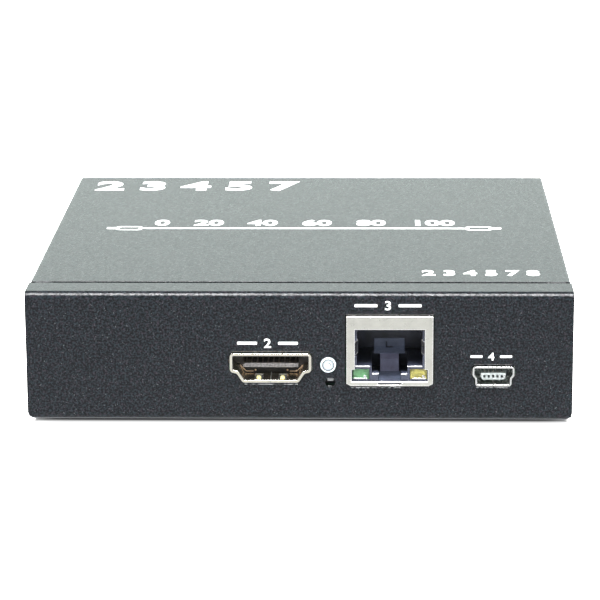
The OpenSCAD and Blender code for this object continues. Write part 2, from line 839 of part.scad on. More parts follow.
// Leaf spring cut out of a wall and bent in: y and height of its line, from its root to its tip
module video_spring(up) along_x(video_spring_w) polygon(strip([
    [video_spring_front + video_spring_l, up * video_wall / 2],
    [video_spring_front + video_spring_l - video_spring_w, up * video_wall / 2],
    [video_spring_front + video_spring_w, up * video_spring_in],
    [video_spring_front, up * video_wall]
], video_wall / 2));

module video_spring_window() translate([0, video_spring_front - spring_gap, 0])
    translate([-video_spring_w / 2 - spring_gap, 0, -over])
        cube([video_spring_w + 2 * spring_gap, video_spring_l - spring_gap, video_wall + 2 * over]);

module video_shell_body() {
    low = -video_lift - board_t - leg_out;
    difference() {
        along_y(0, video_d) difference() {
            polygon(eased(video_outline(), video_corner_r));
            polygon(eased(inset(video_outline(), video_wall), video_corner_r - video_wall));
        }
        translate([-fold_gap / 2, -over, -over])
            cube([fold_gap, video_d + 2 * over, video_wall + 2 * over]);
        both_sides() translate([video_spring_x, 0, 0]) video_spring_window();
        both_sides() translate([video_spring_x, 0, video_h - video_wall]) video_spring_window();
    }
    both_sides() translate([video_spring_x, 0, 0]) video_spring(1);
    both_sides() translate([video_spring_x, 0, video_h]) video_spring(-1);
    both_sides() for (y = [video_leg_front, video_leg_back])
        translate([video_w / 2 - video_wall, y - video_leg_w / 2, low])
            cube([video_wall, video_leg_w, video_h - video_side_h / 2 - low]);
}

module video_shell() color("#e8dfc6") at_front(video_x) translate([0, 0, video_lift]) video_shell_body();

// Contacts lie on both faces of the tongue and end in tails on the board
module video_contact_row(row) {
    count = row == 0 ? video_top_count : video_bottom_count;
    z = video_tongue_h + (row == 0 ? video_tongue_t - video_contact_t / 2 : video_contact_t / 2);
    back = video_d + video_turn_backs[row];
    for (i = [0 : count - 1]) translate([(i - (count - 1) / 2) * video_pitch, 0, 0])
        along_x(video_contact_w) polygon(strip([
            [video_tongue_back + video_contact_back, z],
            [back, z],
            [back, video_contact_t / 2 - video_lift],
            [back + video_tail_l, video_contact_t / 2 - video_lift]
        ], video_contact_t));
}

module video_insulator() color("#5b5d60") at_front(video_x) translate([0, 0, video_lift]) difference() {
    union() {
        along_y(video_d - video_block_d, video_block_d)
            polygon(eased(inset(video_outline(), video_wall + block_fit), video_corner_r - video_wall));
        block(video_tongue_w, video_tongue_back, video_tongue_h,
            video_d - video_block_d / 2 - video_tongue_back, video_tongue_t);
    }
    for (row = [0, 1]) video_contact_row(row);
}

module video_contacts() color("gold") at_front(video_x) translate([0, 0, video_lift])
    for (row = [0, 1]) video_contact_row(row);

// Network and link sockets

module mouth_outline() {
    translate([-mouth_low_w / 2, band_h]) square([mouth_low_w, mouth_low_top - band_h]);
    translate([-mouth_w / 2, band_h]) square([mouth_w, mouth_top - band_h]);
    translate([-band_slot_w / 2, band_slot_low]) square([band_slot_w, band_slot_h]);
}

// Contact finger at the side of the mouth, folded back from the edge of the shield
module side_spring() translate([0, 0, side_spring_low]) linear_extrude(side_spring_h) polygon(strip([
    [mouth_w / 2 + shield_t / 2, shield_t / 2],
    [mouth_w / 2 - side_spring_in, side_spring_l / 2],
    [mouth_w / 2 + shield_t / 2, side_spring_l]
], shield_t));

module jack_shield() translate([0, 0, jack_lift]) {
    low = -jack_lift - board_t - leg_out;
    difference() {
        along_y(0, jack_d) polygon(jack_outline());
        along_y(shield_t, jack_d - 2 * shield_t) polygon(inset(jack_outline(), shield_t));
        along_y(-over, shield_t + 2 * over) mouth_outline();
        translate([-jack_w / 2 + jack_chamfer_w, shield_t + jack_leg_w, -over])
            cube([jack_w - 2 * jack_chamfer_w, jack_d - 2 * jack_leg_w, 2 * over]);
    }
    both_sides() side_spring();
    both_sides() translate([jack_w / 2 - shield_t, jack_leg_y - jack_leg_w / 2, low])
        cube([shield_t, jack_leg_w, jack_h / 2 - low]);
}

// One contact: up from the board behind the plug, forwards over it, and back down to a free end
module jack_contact() along_x(jack_contact_w) polygon(strip([
    [jack_tail_y, -jack_lift],
    [jack_tail_y, plug_floor + plug_h - jack_contact_t],
    [jack_contact_front, plug_floor + plug_h - jack_contact_t],
    [jack_contact_end, jack_contact_low]
], jack_contact_t));

module jack_contacts() translate([0, 0, jack_lift]) for (i = [0 : jack_contact_count - 1])
    translate([(i - (jack_contact_count - 1) / 2) * jack_pitch, 0, 0]) jack_contact();

// Space that a plug and its latch take up, as the housing leaves it free
module plug_space() {
    front = shield_t + housing_back;
    block(plug_w, front - over, plug_floor, plug_d + over, plug_h);
    translate([0, 0, latch_stop_top])
        block(latch_w, front - over, 0, latch_stop_d + over, plug_floor - latch_stop_top + over);
    block(latch_gap_w, front - over, band_h, latch_stop_d + 2 * over, plug_floor - band_h + over);
    translate([0, front + latch_stop_d, 0])
        block(latch_w, 0, band_h, ramp_back - latch_stop_d - front, plug_floor - band_h + over);
}

module light_shape(gap)
    translate([light_gap_w / 2 - gap, light_back - gap, mouth_low_top - light_h - gap])
        cube([light_w + 2 * gap, light_l + 2 * gap, light_h + 2 * gap]);

module light_lead_place() for (x = [-1, 1])
    translate([(light_gap_w + light_w) / 2 + x * light_lead_x, light_back + light_l, 0])
        translate([0, 0, mouth_low_top - light_h]) children();

module jack_housing() translate([0, 0, jack_lift]) {
    front = shield_t + housing_back;
    difference() {
        along_y(front, jack_d - shield_t - housing_fit - front)
            polygon(inset(jack_outline(), shield_t + housing_fit));
        plug_space();
        both_sides() light_shape(light_fit);
        both_sides() translate([0, light_back - light_l, 0]) light_shape(light_fit);
        both_sides() light_lead_place() translate([-light_lead_w / 2 - light_fit, -over, -mouth_low_top])
            cube([light_lead_w + 2 * light_fit, light_lead_w + over + light_fit, mouth_low_top + light_h]);
        both_sides() translate([plug_w / 2 - side_spring_in, 0, side_spring_low - spring_gap])
            cube([jack_w, side_spring_l + spring_gap + shield_t, side_spring_h + 2 * spring_gap]);
        translate([0, 0, -jack_lift]) jack_contacts();
    }
    along_x(ramp_w) polygon([
        [ramp_front, band_h - shield_t], [ramp_back, band_h - shield_t], [ramp_back, plug_floor],
        [ramp_front + ramp_rise, ramp_top], [ramp_front, band_h]
    ]);
    both_sides() translate([peg_x, peg_y, -jack_lift - board_t - leg_out / 2])
        cylinder(h = board_t + jack_lift + leg_out / 2 + band_h, r = peg_r);
}

// Light beside the latch channel, with two leads down to the board
module jack_light(side) translate([0, 0, jack_lift]) scale([side, 1, 1]) {
    light_shape(0);
    light_lead_place() translate([-light_lead_w / 2, 0, -mouth_low_top + light_h - jack_lift])
        cube([light_lead_w, light_lead_w, mouth_low_top - light_h / 2 + jack_lift]);
}

module network_shield() color("#e6e2d6") at_front(network_x) jack_shield();
module network_housing() color("#1a1b1d") at_front(network_x) jack_housing();
module network_contacts() color("gold") at_front(network_x) jack_contacts();
module network_left_light() color("#5fae6a") at_front(network_x) jack_light(-1);
module network_right_light() color("#c9b93e") at_front(network_x) jack_light(1);
module link_shield() color("#e6e2d6") at_rear(link_x) jack_shield();
module link_housing() color("#1a1b1d") at_rear(link_x) jack_housing();
module link_contacts() color("gold") at_rear(link_x) jack_contacts();
module link_left_light() color("#5fae6a") at_rear(link_x) jack_light(-1);
module link_right_light() color("#c9b93e") at_rear(link_x) jack_light(1);

// Service socket

module service_shell() color("#e8e6e0") at_front(service_x) translate([0, 0, service_lift]) {
    low = -service_lift - board_t - leg_out;
    difference() {
        along_y(0, service_d) difference() {
            polygon(eased(service_outline(), service_corner_r));
            polygon(eased(inset(service_outline(), service_wall), service_corner_r - service_wall));
        }
        translate([-fold_gap / 2, -over, -over])
            cube([fold_gap, service_d + 2 * over, service_wall + 2 * over]);
    }
    both_sides() for (y = [service_leg_front, service_leg_back])
        translate([service_w / 2 - service_wall, y - service_leg_w / 2, low])
            cube([service_wall, service_leg_w, service_h - service_side_h / 2 - low]);
}

module service_tongue_outline() polygon(whole([
    [service_tongue_w / 2 - service_tongue_chamfer, 0],
    [service_tongue_w / 2, service_tongue_chamfer],
    [service_tongue_w / 2, service_tongue_t]
]));

// Contact that arches over the top of the tongue and ends in a tail on the board
module service_contact() {
    z = service_tongue_h + service_tongue_t;
    back = service_d + service_tail_l / 2;
    along_x(service_contact_w) polygon(strip([
        [service_tongue_back + service_contact_t, z + service_contact_t],
        [service_tongue_back + service_tail_l, z + service_contact_rise],
        [service_d / 2, z + service_contact_t / 2],
        [back, z + service_contact_t / 2],
        [back, service_contact_t / 2 - service_lift],
        [back + service_tail_l, service_contact_t / 2 - service_lift]
    ], service_contact_t));
}

module at_service_contacts() for (i = [0 : service_contact_count - 1])
    translate([(i - (service_contact_count - 1) / 2) * service_pitch, 0, 0]) children();

module service_block() polygon(eased(
    inset(service_outline(), service_wall + block_fit), service_corner_r - service_wall
));

module service_insulator() color("#c9ced0")
at_front(service_x) translate([0, 0, service_lift]) difference() {
    union() {
        along_y(service_d - service_block_d, service_block_d) service_block();
        along_y(service_tongue_back, service_d - service_block_d / 2 - service_tongue_back)
            translate([0, service_tongue_h]) service_tongue_outline();
    }
    at_service_contacts() {
        service_contact();
        translate([0, 0, service_tongue_h + (service_tongue_t - service_hole_h) / 2])
            block(service_hole_w, service_tongue_back - over, 0, service_hole_d + over, service_hole_h);
    }
}

module service_contacts() color("silver") at_front(service_x) translate([0, 0, service_lift])
    at_service_contacts() service_contact();

// Status light

module status_light() color("#f2f6f8") translate([status_x, front_y - status_proud, board_top + status_h])
    rotate([-90, 0, 0]) difference() {
        union() {
            cylinder(h = status_edge, r1 = status_r - status_edge, r2 = status_r);
            translate([0, 0, status_edge]) cylinder(h = status_l - status_edge, r = status_r);
            translate([0, 0, status_l]) cylinder(h = status_flange_t, r = status_r + status_flange);
        }
        translate([0, 0, -over]) difference() {
            cylinder(h = over + status_groove_d, r = status_groove_r + status_groove_w / 2);
            translate([0, 0, -over])
                cylinder(h = 2 * over + status_groove_d, r = status_groove_r - status_groove_w / 2);
        }
    }

module status_light_leads() color("silver")
    translate([status_x, front_y - status_proud + status_l + status_flange_t, board_top + status_h])
        for (x = [-1, 1]) translate([x * status_lead_x, 0, 0]) along_x(status_lead_w) polygon(strip([
            [0, 0], [status_lead_l, 0], [status_lead_l, -status_h]
        ], status_lead_w));

// Reset switch

module at_switch() translate([reset_x, switch_y, board_top]) children();

module button_stem(gap) block(button_w + 2 * gap, -button_out, reset_h - button_h / 2 - gap,
    button_out + switch_wall + button_rest_gap + button_flange_t / 2, button_h + 2 * gap);

module reset_switch_body() color("#202224") at_switch() difference() {
    block(switch_w, 0, 0, switch_d, switch_h);
    button_stem(button_gap);
    block(button_flange_w + 2 * button_gap, switch_wall, reset_h - button_h / 2 - button_gap,
        button_rest_gap + button_flange_t + reset_travel + 2 * button_gap + dome_rise, switch_h);
}

module reset_switch_plate() color("silver") at_switch() {
    block(switch_w, 0, switch_h, switch_d + switch_plate_t, switch_plate_t);
    block(switch_w, switch_d, switch_plate_low,
        switch_plate_t, switch_h - switch_plate_low + switch_plate_t / 2);
}

// Bowed leaf behind the button, which gives the switch its click
module reset_switch_dome() color("silver") {
    r = (dome_w * dome_w / 4 + dome_rise * dome_rise) / 2 / dome_rise;
    crown = switch_wall + button_rest_gap + button_flange_t + reset_travel + button_gap;
    at_switch() translate([0, crown, reset_h - button_h / 2]) linear_extrude(dome_h) intersection() {
        translate([0, r]) difference() {
            circle(r);
            circle(r - dome_t);
        }
        translate([-dome_w / 2, 0]) square([dome_w, dome_rise]);
    }
}

module reset_button() color("#35383b") at_switch() {
    button_stem(0);
    block(button_flange_w, switch_wall + button_rest_gap, reset_h - button_h / 2,
        button_flange_t, button_h);
}

// Power jack

module power_jack_outline(gap) translate([0, -gap])
    arch(power_w + 2 * gap, power_h + 2 * gap, power_top_r + gap);

// Flat spring under the mouth of the power jack, rising to meet the plug
module power_spring_shape(gap) {
    front = power_bore_d - power_spring_l;
    low = power_axis_h - power_bore_r - power_spring_rise;
    along_x(power_spring_w + 2 * gap) polygon(strip([
        [power_bore_d + power_spring_t, low],
        [front + power_spring_w, low + power_spring_rise],
        [front, low]
    ], power_spring_t + 2 * gap));
}

module power_jack_body() color("#1c1d1f") at_rear(power_x) difference() {
    along_y(0, power_d) power_jack_outline(0);
    translate([0, power_bore_d, power_axis_h]) facing_front()
        cylinder(h = power_bore_d + over, r = power_bore_r);
    translate([0, power_d, power_axis_h]) facing_front()
        cylinder(h = power_d, r = power_pin_root_r);
    block(power_spring_w + 2 * leg_gap, power_bore_d - power_spring_l - spring_gap,
        power_axis_h - power_bore_r - power_spring_bed - power_spring_rise,
        power_spring_l + spring_gap + power_spring_t, power_bore_r + power_spring_bed);
    block(power_leg_w + 2 * leg_gap, power_leg_front - power_leg_t / 2 - leg_gap, -over,
        power_leg_t + 2 * leg_gap, over + power_axis_h - power_bore_r);
    block(power_leg_w, power_leg_back - power_leg_t / 2, -over, power_leg_t, over + power_axis_h);
}

module power_jack_pin() color("silver") at_rear(power_x) {
    translate([0, power_d, power_axis_h]) facing_front()
        cylinder(h = power_d - power_bore_d, r = power_pin_root_r);
    translate([0, power_bore_d, power_axis_h]) facing_front()
        cylinder(h = power_pin_l - power_pin_tip, r = power_pin_r);
    translate([0, power_bore_d - power_pin_l + power_pin_tip, power_axis_h]) facing_front()
        cylinder(h = power_pin_tip, r1 = power_pin_r, r2 = power_pin_r - power_pin_tip);
    block(power_leg_w, power_leg_back - power_leg_t / 2, -board_t - leg_out, power_leg_t,
        board_t + leg_out + power_axis_h);
}

module power_jack_spring() color("silver") at_rear(power_x) {
    power_spring_shape(0);
    block(power_leg_w, power_leg_front - power_leg_t / 2, -board_t - leg_out, power_leg_t,
        board_t + leg_out + power_axis_h - power_bore_r - power_spring_rise / 2);
}

// Infrared jacks

// Leaf in a window beside the bore, with a leg down to the board
module infrared_leaf(gap)
    translate([infrared_bore_r + infrared_leaf_off - gap, infrared_window_front - gap, 0]) cube([
        infrared_leaf_t + 2 * gap,
        infrared_window_l + 2 * gap,
        infrared_axis_h + infrared_window_w / 2 + gap
    ]);

module infrared_body() difference() {
    union() {
        block(infrared_w, infrared_nose_l, 0, infrared_d - infrared_nose_l + port_proud, infrared_h);
        translate([0, infrared_nose_l + over, infrared_axis_h]) facing_front()
            cylinder(h = infrared_nose_l + over, r = infrared_nose_r);
    }
    translate([0, infrared_bore_d, infrared_axis_h]) facing_front()
        cylinder(h = infrared_bore_d + over, r = infrared_bore_r);
    both_sides() translate([0, infrared_window_front, infrared_axis_h - infrared_window_w / 2])
        cube([infrared_bore_r + infrared_leaf_off, infrared_window_l, infrared_window_w]);
    both_sides() infrared_leaf(infrared_leaf_gap);
}

module infrared_leaves() both_sides() infrared_leaf(0);

module infrared_out_jack() color("#1c1d1f") at_rear(infrared_out_x) infrared_body();
module infrared_out_contacts() color("silver") at_rear(infrared_out_x) infrared_leaves();
module infrared_in_jack() color("#1c1d1f") at_rear(infrared_in_x) infrared_body();
module infrared_in_contacts() color("silver") at_rear(infrared_in_x) infrared_leaves();

// Parts on the board

// Flat body with its upper edge sloped in
module chip_body(size) {
    edge = size[2] * chip_edge_share;
    translate([-size[0] / 2, -size[1] / 2, lead_t]) cube([size[0], size[1], size[2] / 2]);
    translate([-size[0] / 2 + edge, -size[1] / 2 + edge, lead_t])
        cube([size[0] - 2 * edge, size[1] - 2 * edge, size[2] - lead_t]);
}

// Row of bent leads along one side of a chip
module lead_row(width, length, count) {
    pitch = length / count;
    for (i = [0 : count - 1]) rotate([0, 0, 90])
        translate([(i - (count - 1) / 2) * pitch, width / 2, 0])
            along_x(pitch * lead_w_share) polygon(strip([
                [-lead_in, 2 * lead_t],
                [lead_out / 2, 2 * lead_t],
                [lead_out / 2, lead_t / 2],
                [lead_out, lead_t / 2]
            ], lead_t));
}

module chip(size, pairs, count) {
    chip_body(size);
    for (a = [0 : pairs - 1]) for (b = [0, 180]) rotate([0, 0, a * 90 + b])
        lead_row(a == 0 ? size[0] : size[1], a == 0 ? size[1] : size[0], count);
}

// The receiver chip and its heat sink stand in front of the link transformer
module at_receiver() {
    back = -nose_y - jack_d - transformer_gap - transformer_size[1] - lead_out - sink_gap;
    translate([receiver_x_share * board_w, back - sink_w / 2, board_top]) children();
}

module receiver_chip() color("#232427") at_receiver()
    translate([-receiver_w / 2, -receiver_w / 2, 0]) cube([receiver_w, receiver_w, receiver_t]);

module thermal_pad() color("#8fa4ad") at_receiver()
    translate([-receiver_w / 2, -receiver_w / 2, receiver_t]) cube([receiver_w, receiver_w, pad_t]);

module heat_sink() color("#2f3235") at_receiver()
    translate([-sink_w / 2, -sink_w / 2, receiver_t + pad_t]) {
        cube([sink_w, sink_w, sink_base_t]);
        for (i = [0 : fin_count - 1]) translate([i * (sink_w - fin_t) / (fin_count - 1), 0, 0])
            cube([fin_t, sink_w, sink_h]);
    }

module network_chip() color("#232427")
    on_board(network_chip_at_share) chip(network_chip_size, 2, network_chip_leads);
module controller_chip() color("#232427")
    on_board(controller_at_share) chip(controller_size, 2, controller_leads);
module memory_chip() color("#232427")
    on_board(memory_at_share) chip(memory_size, 1, memory_leads);

module link_transformer() color("#232427")
    translate([link_x, -nose_y - jack_d - transformer_gap - transformer_size[1] / 2, board_top])
        chip(transformer_size, 1, transformer_leads);

module crystals() color("silver") for (at = crystal_at_shares) on_board(at) {
    r = crystal_size[1] / 2;
    for (x = [-1, 1]) translate([x * (crystal_size[0] / 2 - r), 0, 0])
        cylinder(h = crystal_size[2], r = r);
    translate([-crystal_size[0] / 2 + r, -r, 0]) cube([crystal_size[0] - 2 * r, 2 * r, crystal_size[2]]);
}

module electrolytic_capacitors() color("#26292c") for (at = can_at_shares) on_board(at) {
    groove = can_h * can_groove_h_share;
    cylinder(h = groove, r = can_r);
    translate([0, 0, groove]) cylinder(h = groove, r = can_r * can_groove_r_share);
    translate([0, 0, 2 * groove]) cylinder(h = can_h - 2 * groove, r = can_r);
}

module power_inductors() color("#3a3c3e") for (at = coil_at_shares) on_board(at) {
    cut = coil_w * coil_cut_share;
    intersection() {
        translate([-coil_w / 2, -coil_w / 2, 0]) cube([coil_w, coil_w, coil_h * coil_case_h_share]);
        rotate([0, 0, 45]) translate([-coil_w / 2 - cut / 2, -coil_w / 2 - cut / 2, 0])
            cube([coil_w + cut, coil_w + cut, coil_h]);
    }
    cylinder(h = coil_h, r = coil_w * coil_core_share);
}

module voltage_regulator() color("#232427") on_board(regulator_at_share) {
    chip_body(regulator_size);
    translate([-regulator_tab[0] / 2, regulator_size[1] / 2 - regulator_tab[2], 0])
        cube([regulator_tab[0], regulator_tab[1] + regulator_tab[2], 2 * lead_t]);
    rotate([0, 0, -90]) lead_row(regulator_size[1], regulator_size[0], regulator_leads);
}

module small_components() color("#9b8f7c") for (b = [0 : len(small_block_shares) - 1])
    for (i = [0 : small_block_counts[b][0] - 1], j = [0 : small_block_counts[b][1] - 1])
        on_board(small_block_shares[b]) translate([i * small_pitch[0], j * small_pitch[1], 0])
            cube(small_size);

base_tray();
top_cover();
cover_screws();
rubber_feet();
standoffs();
circuit_board();
board_screws();
video_shell();
video_insulator();
video_contacts();
status_light();
status_light_leads();
reset_switch_body();
reset_switch_plate();
reset_switch_dome();
reset_button();
network_shield();
network_housing();
network_contacts();
network_left_light();
network_right_light();
service_shell();
service_insulator();
service_contacts();
link_shield();
link_housing();
link_contacts();
link_left_light();
link_right_light();
infrared_out_jack();
infrared_out_contacts();
infrared_in_jack();
infrared_in_contacts();
power_jack_body();
power_jack_pin();
power_jack_spring();
receiver_chip();
thermal_pad();
heat_sink();
network_chip();
controller_chip();
memory_chip();
link_transformer();
crystals();
electrolytic_capacitors();
power_inductors();
voltage_regulator();
small_components();
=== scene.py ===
"""Dresses the receiver box of a video extender, a bent sheet case with its sockets, for a product picture."""

import math
from typing import NamedTuple

import bpy
from mathutils import Matrix, Vector


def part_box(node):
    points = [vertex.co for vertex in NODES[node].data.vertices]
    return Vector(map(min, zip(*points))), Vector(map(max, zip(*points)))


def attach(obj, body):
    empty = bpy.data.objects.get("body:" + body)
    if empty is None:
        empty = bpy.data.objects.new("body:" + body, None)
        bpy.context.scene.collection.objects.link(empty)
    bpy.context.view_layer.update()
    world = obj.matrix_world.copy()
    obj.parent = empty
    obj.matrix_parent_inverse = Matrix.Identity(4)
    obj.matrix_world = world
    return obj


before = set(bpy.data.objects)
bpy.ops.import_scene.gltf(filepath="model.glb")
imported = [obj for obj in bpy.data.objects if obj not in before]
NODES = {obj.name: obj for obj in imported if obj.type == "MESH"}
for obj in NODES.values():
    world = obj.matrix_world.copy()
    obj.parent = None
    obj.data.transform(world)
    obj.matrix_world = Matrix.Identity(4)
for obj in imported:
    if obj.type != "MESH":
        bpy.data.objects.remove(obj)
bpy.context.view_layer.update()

bl_info = {
    "name": "Extender receiver",
    "version": (1, 0, 0),
    "blender": (4, 5, 0),
    "location": "3D View > Sidebar > Receiver",
    "description": "Finishes, prints and studio for the receiver box of a video extender",
    "category": "Object",
}

MM = 0.001
FRONT_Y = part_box("base_tray")[0].y
TOP_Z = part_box("base_tray")[1].z

# Starts of the names of the CAD nodes in each group. The board's group has all the others.
CASE = ("base_tray", "top_cover", "cover_screws", "rubber_feet")
FRONT = ("video_", "network_", "service_")
CONTROLS = ("status_", "reset_")
REAR = ("link_", "infrared_", "power_jack")


# Small pieces that this script adds, in millimetres


class Block(NamedTuple):
    """Small block at a socket. Its spot is counted from the socket's middle, its nose and its underside."""

    size: tuple
    spot: tuple
    turn: float = 0.0
    edge: float = 0.25
    slope: float = 0.0


def pair(size, spot, turn=0.0, edge=0.25):
    """The same block on the left and on the right of the middle, mirrored."""
    return [Block(size, (side * spot[0], *spot[1:]), side * turn, edge) for side in (-1, 1)]


# Heights of the shells, without their legs
SHIELD_H = 13.15
VIDEO_H = 5.5
# Painted highlights along the lower edge of each light of a network socket, and a dot in its corner
LIGHT_GLINTS = [
    *pair((2.5, 0.2, 0.2), (5.35, 0.48, 1.32)),
    Block((0.5, 0.2, 0.4), (-4.55, 0.42, 1.75), 0.5, 0.4),
    Block((0.5, 0.2, 0.4), (6.15, 0.42, 1.75), 0.5, 0.4),
]
# Painted highlights, as pale bars over each light and on each of the two stops that hold a plug's latch
HIGHLIGHT_BARS = [
    Block((2.75, 0.3, 0.24), (-4.95, 0.42, 3.62)),
    Block((2.75, 0.3, 0.24), (4.61, 0.42, 3.62)),
    *pair((1.18, 0.3, 0.28), (2.62, 0.42, 2.18)),
]
# The latch channel's floor, the shelf behind the ridge and the wall over the shelf
LATCH_RAMP = [
    Block((4.1, 6.1, 0.1), (0, 3.5, 0.88)),
    Block((5.7, 3.6, 0.2), (0, 11.4, 3.58)),
    Block((5.7, 0.15, 1.9), (0, 13.2, 4.5)),
]
# The ramp's steep front and the gentle slope behind it
LATCH_RIDGE = [
    Block((3.44, 2.3, 0.1), (0, 7.3, 1.90), slope=math.radians(56)),
    Block((3.44, 3.0, 0.1), (0, 9.4, 3.27), slope=math.radians(14)),
]
# Dark lines on the wall over the shelf
RAMP_NOTCH = [
    Block((0.24, 0.12, 1.2), (-0.56, 13.1, 4.3)),
    Block((1.3, 0.12, 0.24), (0, 13.1, 3.82)),
]
# Painted highlights in a copper tint, as lines and dots where the video shell's floor meets the block behind
# its mouth
SEAM_HIGHLIGHTS = [
    *pair((1.3, 0.12, 0.12), (4.0, 5.2, 0.72)),
    *pair((1.7, 0.12, 0.12), (5.25, 5.2, 1.32), turn=-math.radians(46)),
    *pair((0.32, 0.3, 0.32), (2.95, 5.1, 0.95), edge=0.4),
    Block((0.34, 0.3, 0.34), (4.62, 5.1, 0.82), edge=0.4),
    Block((0.34, 0.3, 0.34), (5.66, 5.1, 1.72), edge=0.4),
]
# The tips glow a little by their sheen, painted light
# Tips of the springs in the video shell's floor
SPRING_TIPS = pair((0.82, 0.3, 0.68), (2.18, 0.8, 0.8), edge=0.9)

# Marks on the front: text, node under it, shift to the right of the node's middle and rise over its top,
# whole width, share of the figures' full height
FRONT_MARKS = [
    ("2", "video_shell", -0.53, 1.87, 11.1, 1.0),
    ("3", "network_shield", -0.35, 1.94, 12.2, 1.0),
    ("4", "service_shell", -0.44, 1.84, 7.6, 0.83),
]
# Free width between a mark's two bars and thickness of the bars, as shares of the figures' height
MARK_GAP = 2.2
MARK_BAR = 0.32
# Painted highlights on the lower edges of the cut-outs and of the reset hole: node, shift and rise as for the
# marks, width
CUTOUT_GLINTS = [
    ("video_shell", 0.1, -5.90, 9.8),
    ("network_shield", -2.2, -13.57, 9.6),
    ("service_shell", 0.0, -4.04, 6.2),
    ("status_light", 0.3, -5.86, 0.6),
]
GLINT_H = 0.13

# Cable line on the top: middle, length, and the plugs' and their tips' sizes and distances from the middle
CABLE_MIDDLE = (-0.3, 1.7)
CABLE_L = 64.6
PLUG_MIDDLE = -0.35
PLUG_SIZE = (5.4, 3.4)
PLUG_REACH = 34.95
TIP_SIZE = (1.9, 1.6)
TIP_REACH = 38.5
# Figures on the top: name, text, setting with their height, width, boldness, place
TOP_FIGURES = [
    ("distance_scale", "0   20   40   60   80   100", "scale_height", 60.4, 0.035, (-0.3, 6.6)),
    ("large_figures", "2 3 4 5 7", "logo_height", 43.5, 0.045, (-24, 41.4)),
    ("corner_figures", "2 3 4 5 7 8", "corner_height", 22, 0.035, (33.6, -34.9)),
]

# The floor glows outside the box's shadow: how far behind the front wall the glow fades, and how far
# outside the other walls it comes back
GLOW_UNDER = (5.2, 6.8)
GLOW_ROUND = (-1.0, 1.0)
# How far before the front wall the floor's mirror image brightens, and from which share to which
MIRROR_STRETCH = (110, 15)
MIRROR_LEVELS = (0.88, 1.1)


# Measures without a unit, and the lamps in metres

# Radius of a bar's round corners, as a share of its smaller side
CORNER = 0.3
# Agreement of the rounded with the flat normal where a bright edge begins and where it is full
EDGE_BEGINS = 0.995
EDGE_FULL = 0.75
# Height of a mirrored direction between which the backdrop turns into the ceiling
CEILING_RISE = (0.40, 0.56)
# Depth of a mirrored direction between which the room in front turns into the one behind
ROOM_TURN = (-0.3, 0.2)
# Lamps: name, setting with the power, place, point that it shines on, size
LAMPS = [
    ("overhead_light", "key_power", (0, -0.24, 0.75), (0, -0.24, 0), (0.5, 0.40)),
    ("left_light", "side_power", (-0.8, -0.5, 0.5), (0, 0, 0.01), (0.5, 0.5)),
    ("right_light", "side_power", (0.8, -0.4, 0.5), (0, 0, 0.01), (0.5, 0.5)),
]
# Rings of the status light's lens: outer reach in millimetres, then each ring's place as a share of that
# reach and its brightness. The dark mark is an arc of this radius, on the upper right.
# The rings' brightness is painted: the bright and pale rings are painted reflections in the dome, the dark
# ones painted shade
LENS_REACH = 1.6
LENS_MARK_R = 0.42
LENS_RINGS = [
    (0.0, 0.95), (0.44, 1.05), (0.47, 0.30), (0.50, 0.34), (0.545, 0.85), (0.59, 0.80), (0.615, 0.08),
    (0.685, 0.08), (0.71, 1.2), (1.0, 1.15),
]


# Sizes and colours


def length(name, description, default):
    return bpy.props.FloatProperty(
        name=name, description=description, default=default, min=0, precision=5,
        subtype="DISTANCE", unit="LENGTH",
    )


def colour(name, description, default):
    return bpy.props.FloatVectorProperty(
        name=name, description=description, default=default, size=3, min=0, max=1, subtype="COLOR"
    )


def share(name, description, default, most=1.0):
    return bpy.props.FloatProperty(
        name=name, description=description, default=default, min=0, max=most, subtype="FACTOR"
    )


def watts(name, description, default):
    return bpy.props.FloatProperty(name=name, description=description, default=default, min=0)


class PaintSettings(bpy.types.PropertyGroup):
    coat: colour("Coat", "Colour of the powder coat", (0.0068, 0.0094, 0.0117))
    # The speck colour is also that of the painted highlight along the coat's edges
    speck: colour("Speck", "Colour of the pale specks in the powder coat", (0.10, 0.105, 0.11))
    roughness: share("Roughness", "Roughness of the powder coat", 0.34)
    gloss: share("Gloss", "Weight of the clear layer over the powder coat", 1.0)
    grain: length("Grain", "Distance between the humps of the powder coat", 0.42 * MM)
    grain_height: length("Grain height", "Height of the humps of the powder coat", 0.048 * MM)
    ink: colour("Ink", "Colour of the printed marks", (0.86, 0.88, 0.87))
    ink_height: length("Ink height", "Thickness of the ink", 0.01 * MM)


class MetalSettings(bpy.types.PropertyGroup):
    video: colour("Video shell", "Colour of the video socket's shell", (0.96, 0.90, 0.76))
    shield: colour("Shield", "Colour of the network and link sockets' shields", (0.89, 0.86, 0.78))
    service: colour("Service shell", "Colour of the service socket's shell", (0.95, 0.94, 0.90))
    contact: colour("Contact", "Colour of the gilded contacts", (0.85, 0.62, 0.28))
    steel: colour("Steel", "Colour of the plain steel parts", (0.62, 0.62, 0.61))


class PlasticSettings(bpy.types.PropertyGroup):
    video: colour("Video insulator", "Colour of the video socket's insulator", (0.045, 0.040, 0.040))
    service: colour("Service insulator", "Colour of the service socket's insulator", (0.40, 0.45, 0.45))
    housing: colour("Housing", "Colour of the network and link sockets' housings", (0.040, 0.045, 0.070))
    left_light: colour("Left light", "Colour of the left lights", (0.085, 0.22, 0.10))
    right_light: colour("Right light", "Colour of the right lights", (0.31, 0.28, 0.07))
    # This colour is also that of the painted glow of the latch ramp and its ridge
    ramp: colour("Latch ramp", "Colour of the ramp and the wall behind a plug's latch", (0.15, 0.18, 0.27))
    button: colour("Reset button", "Colour of the reset button", (0.62, 0.64, 0.65))
    status: colour("Status light", "Colour of the status light's lens", (0.56, 0.64, 0.68))


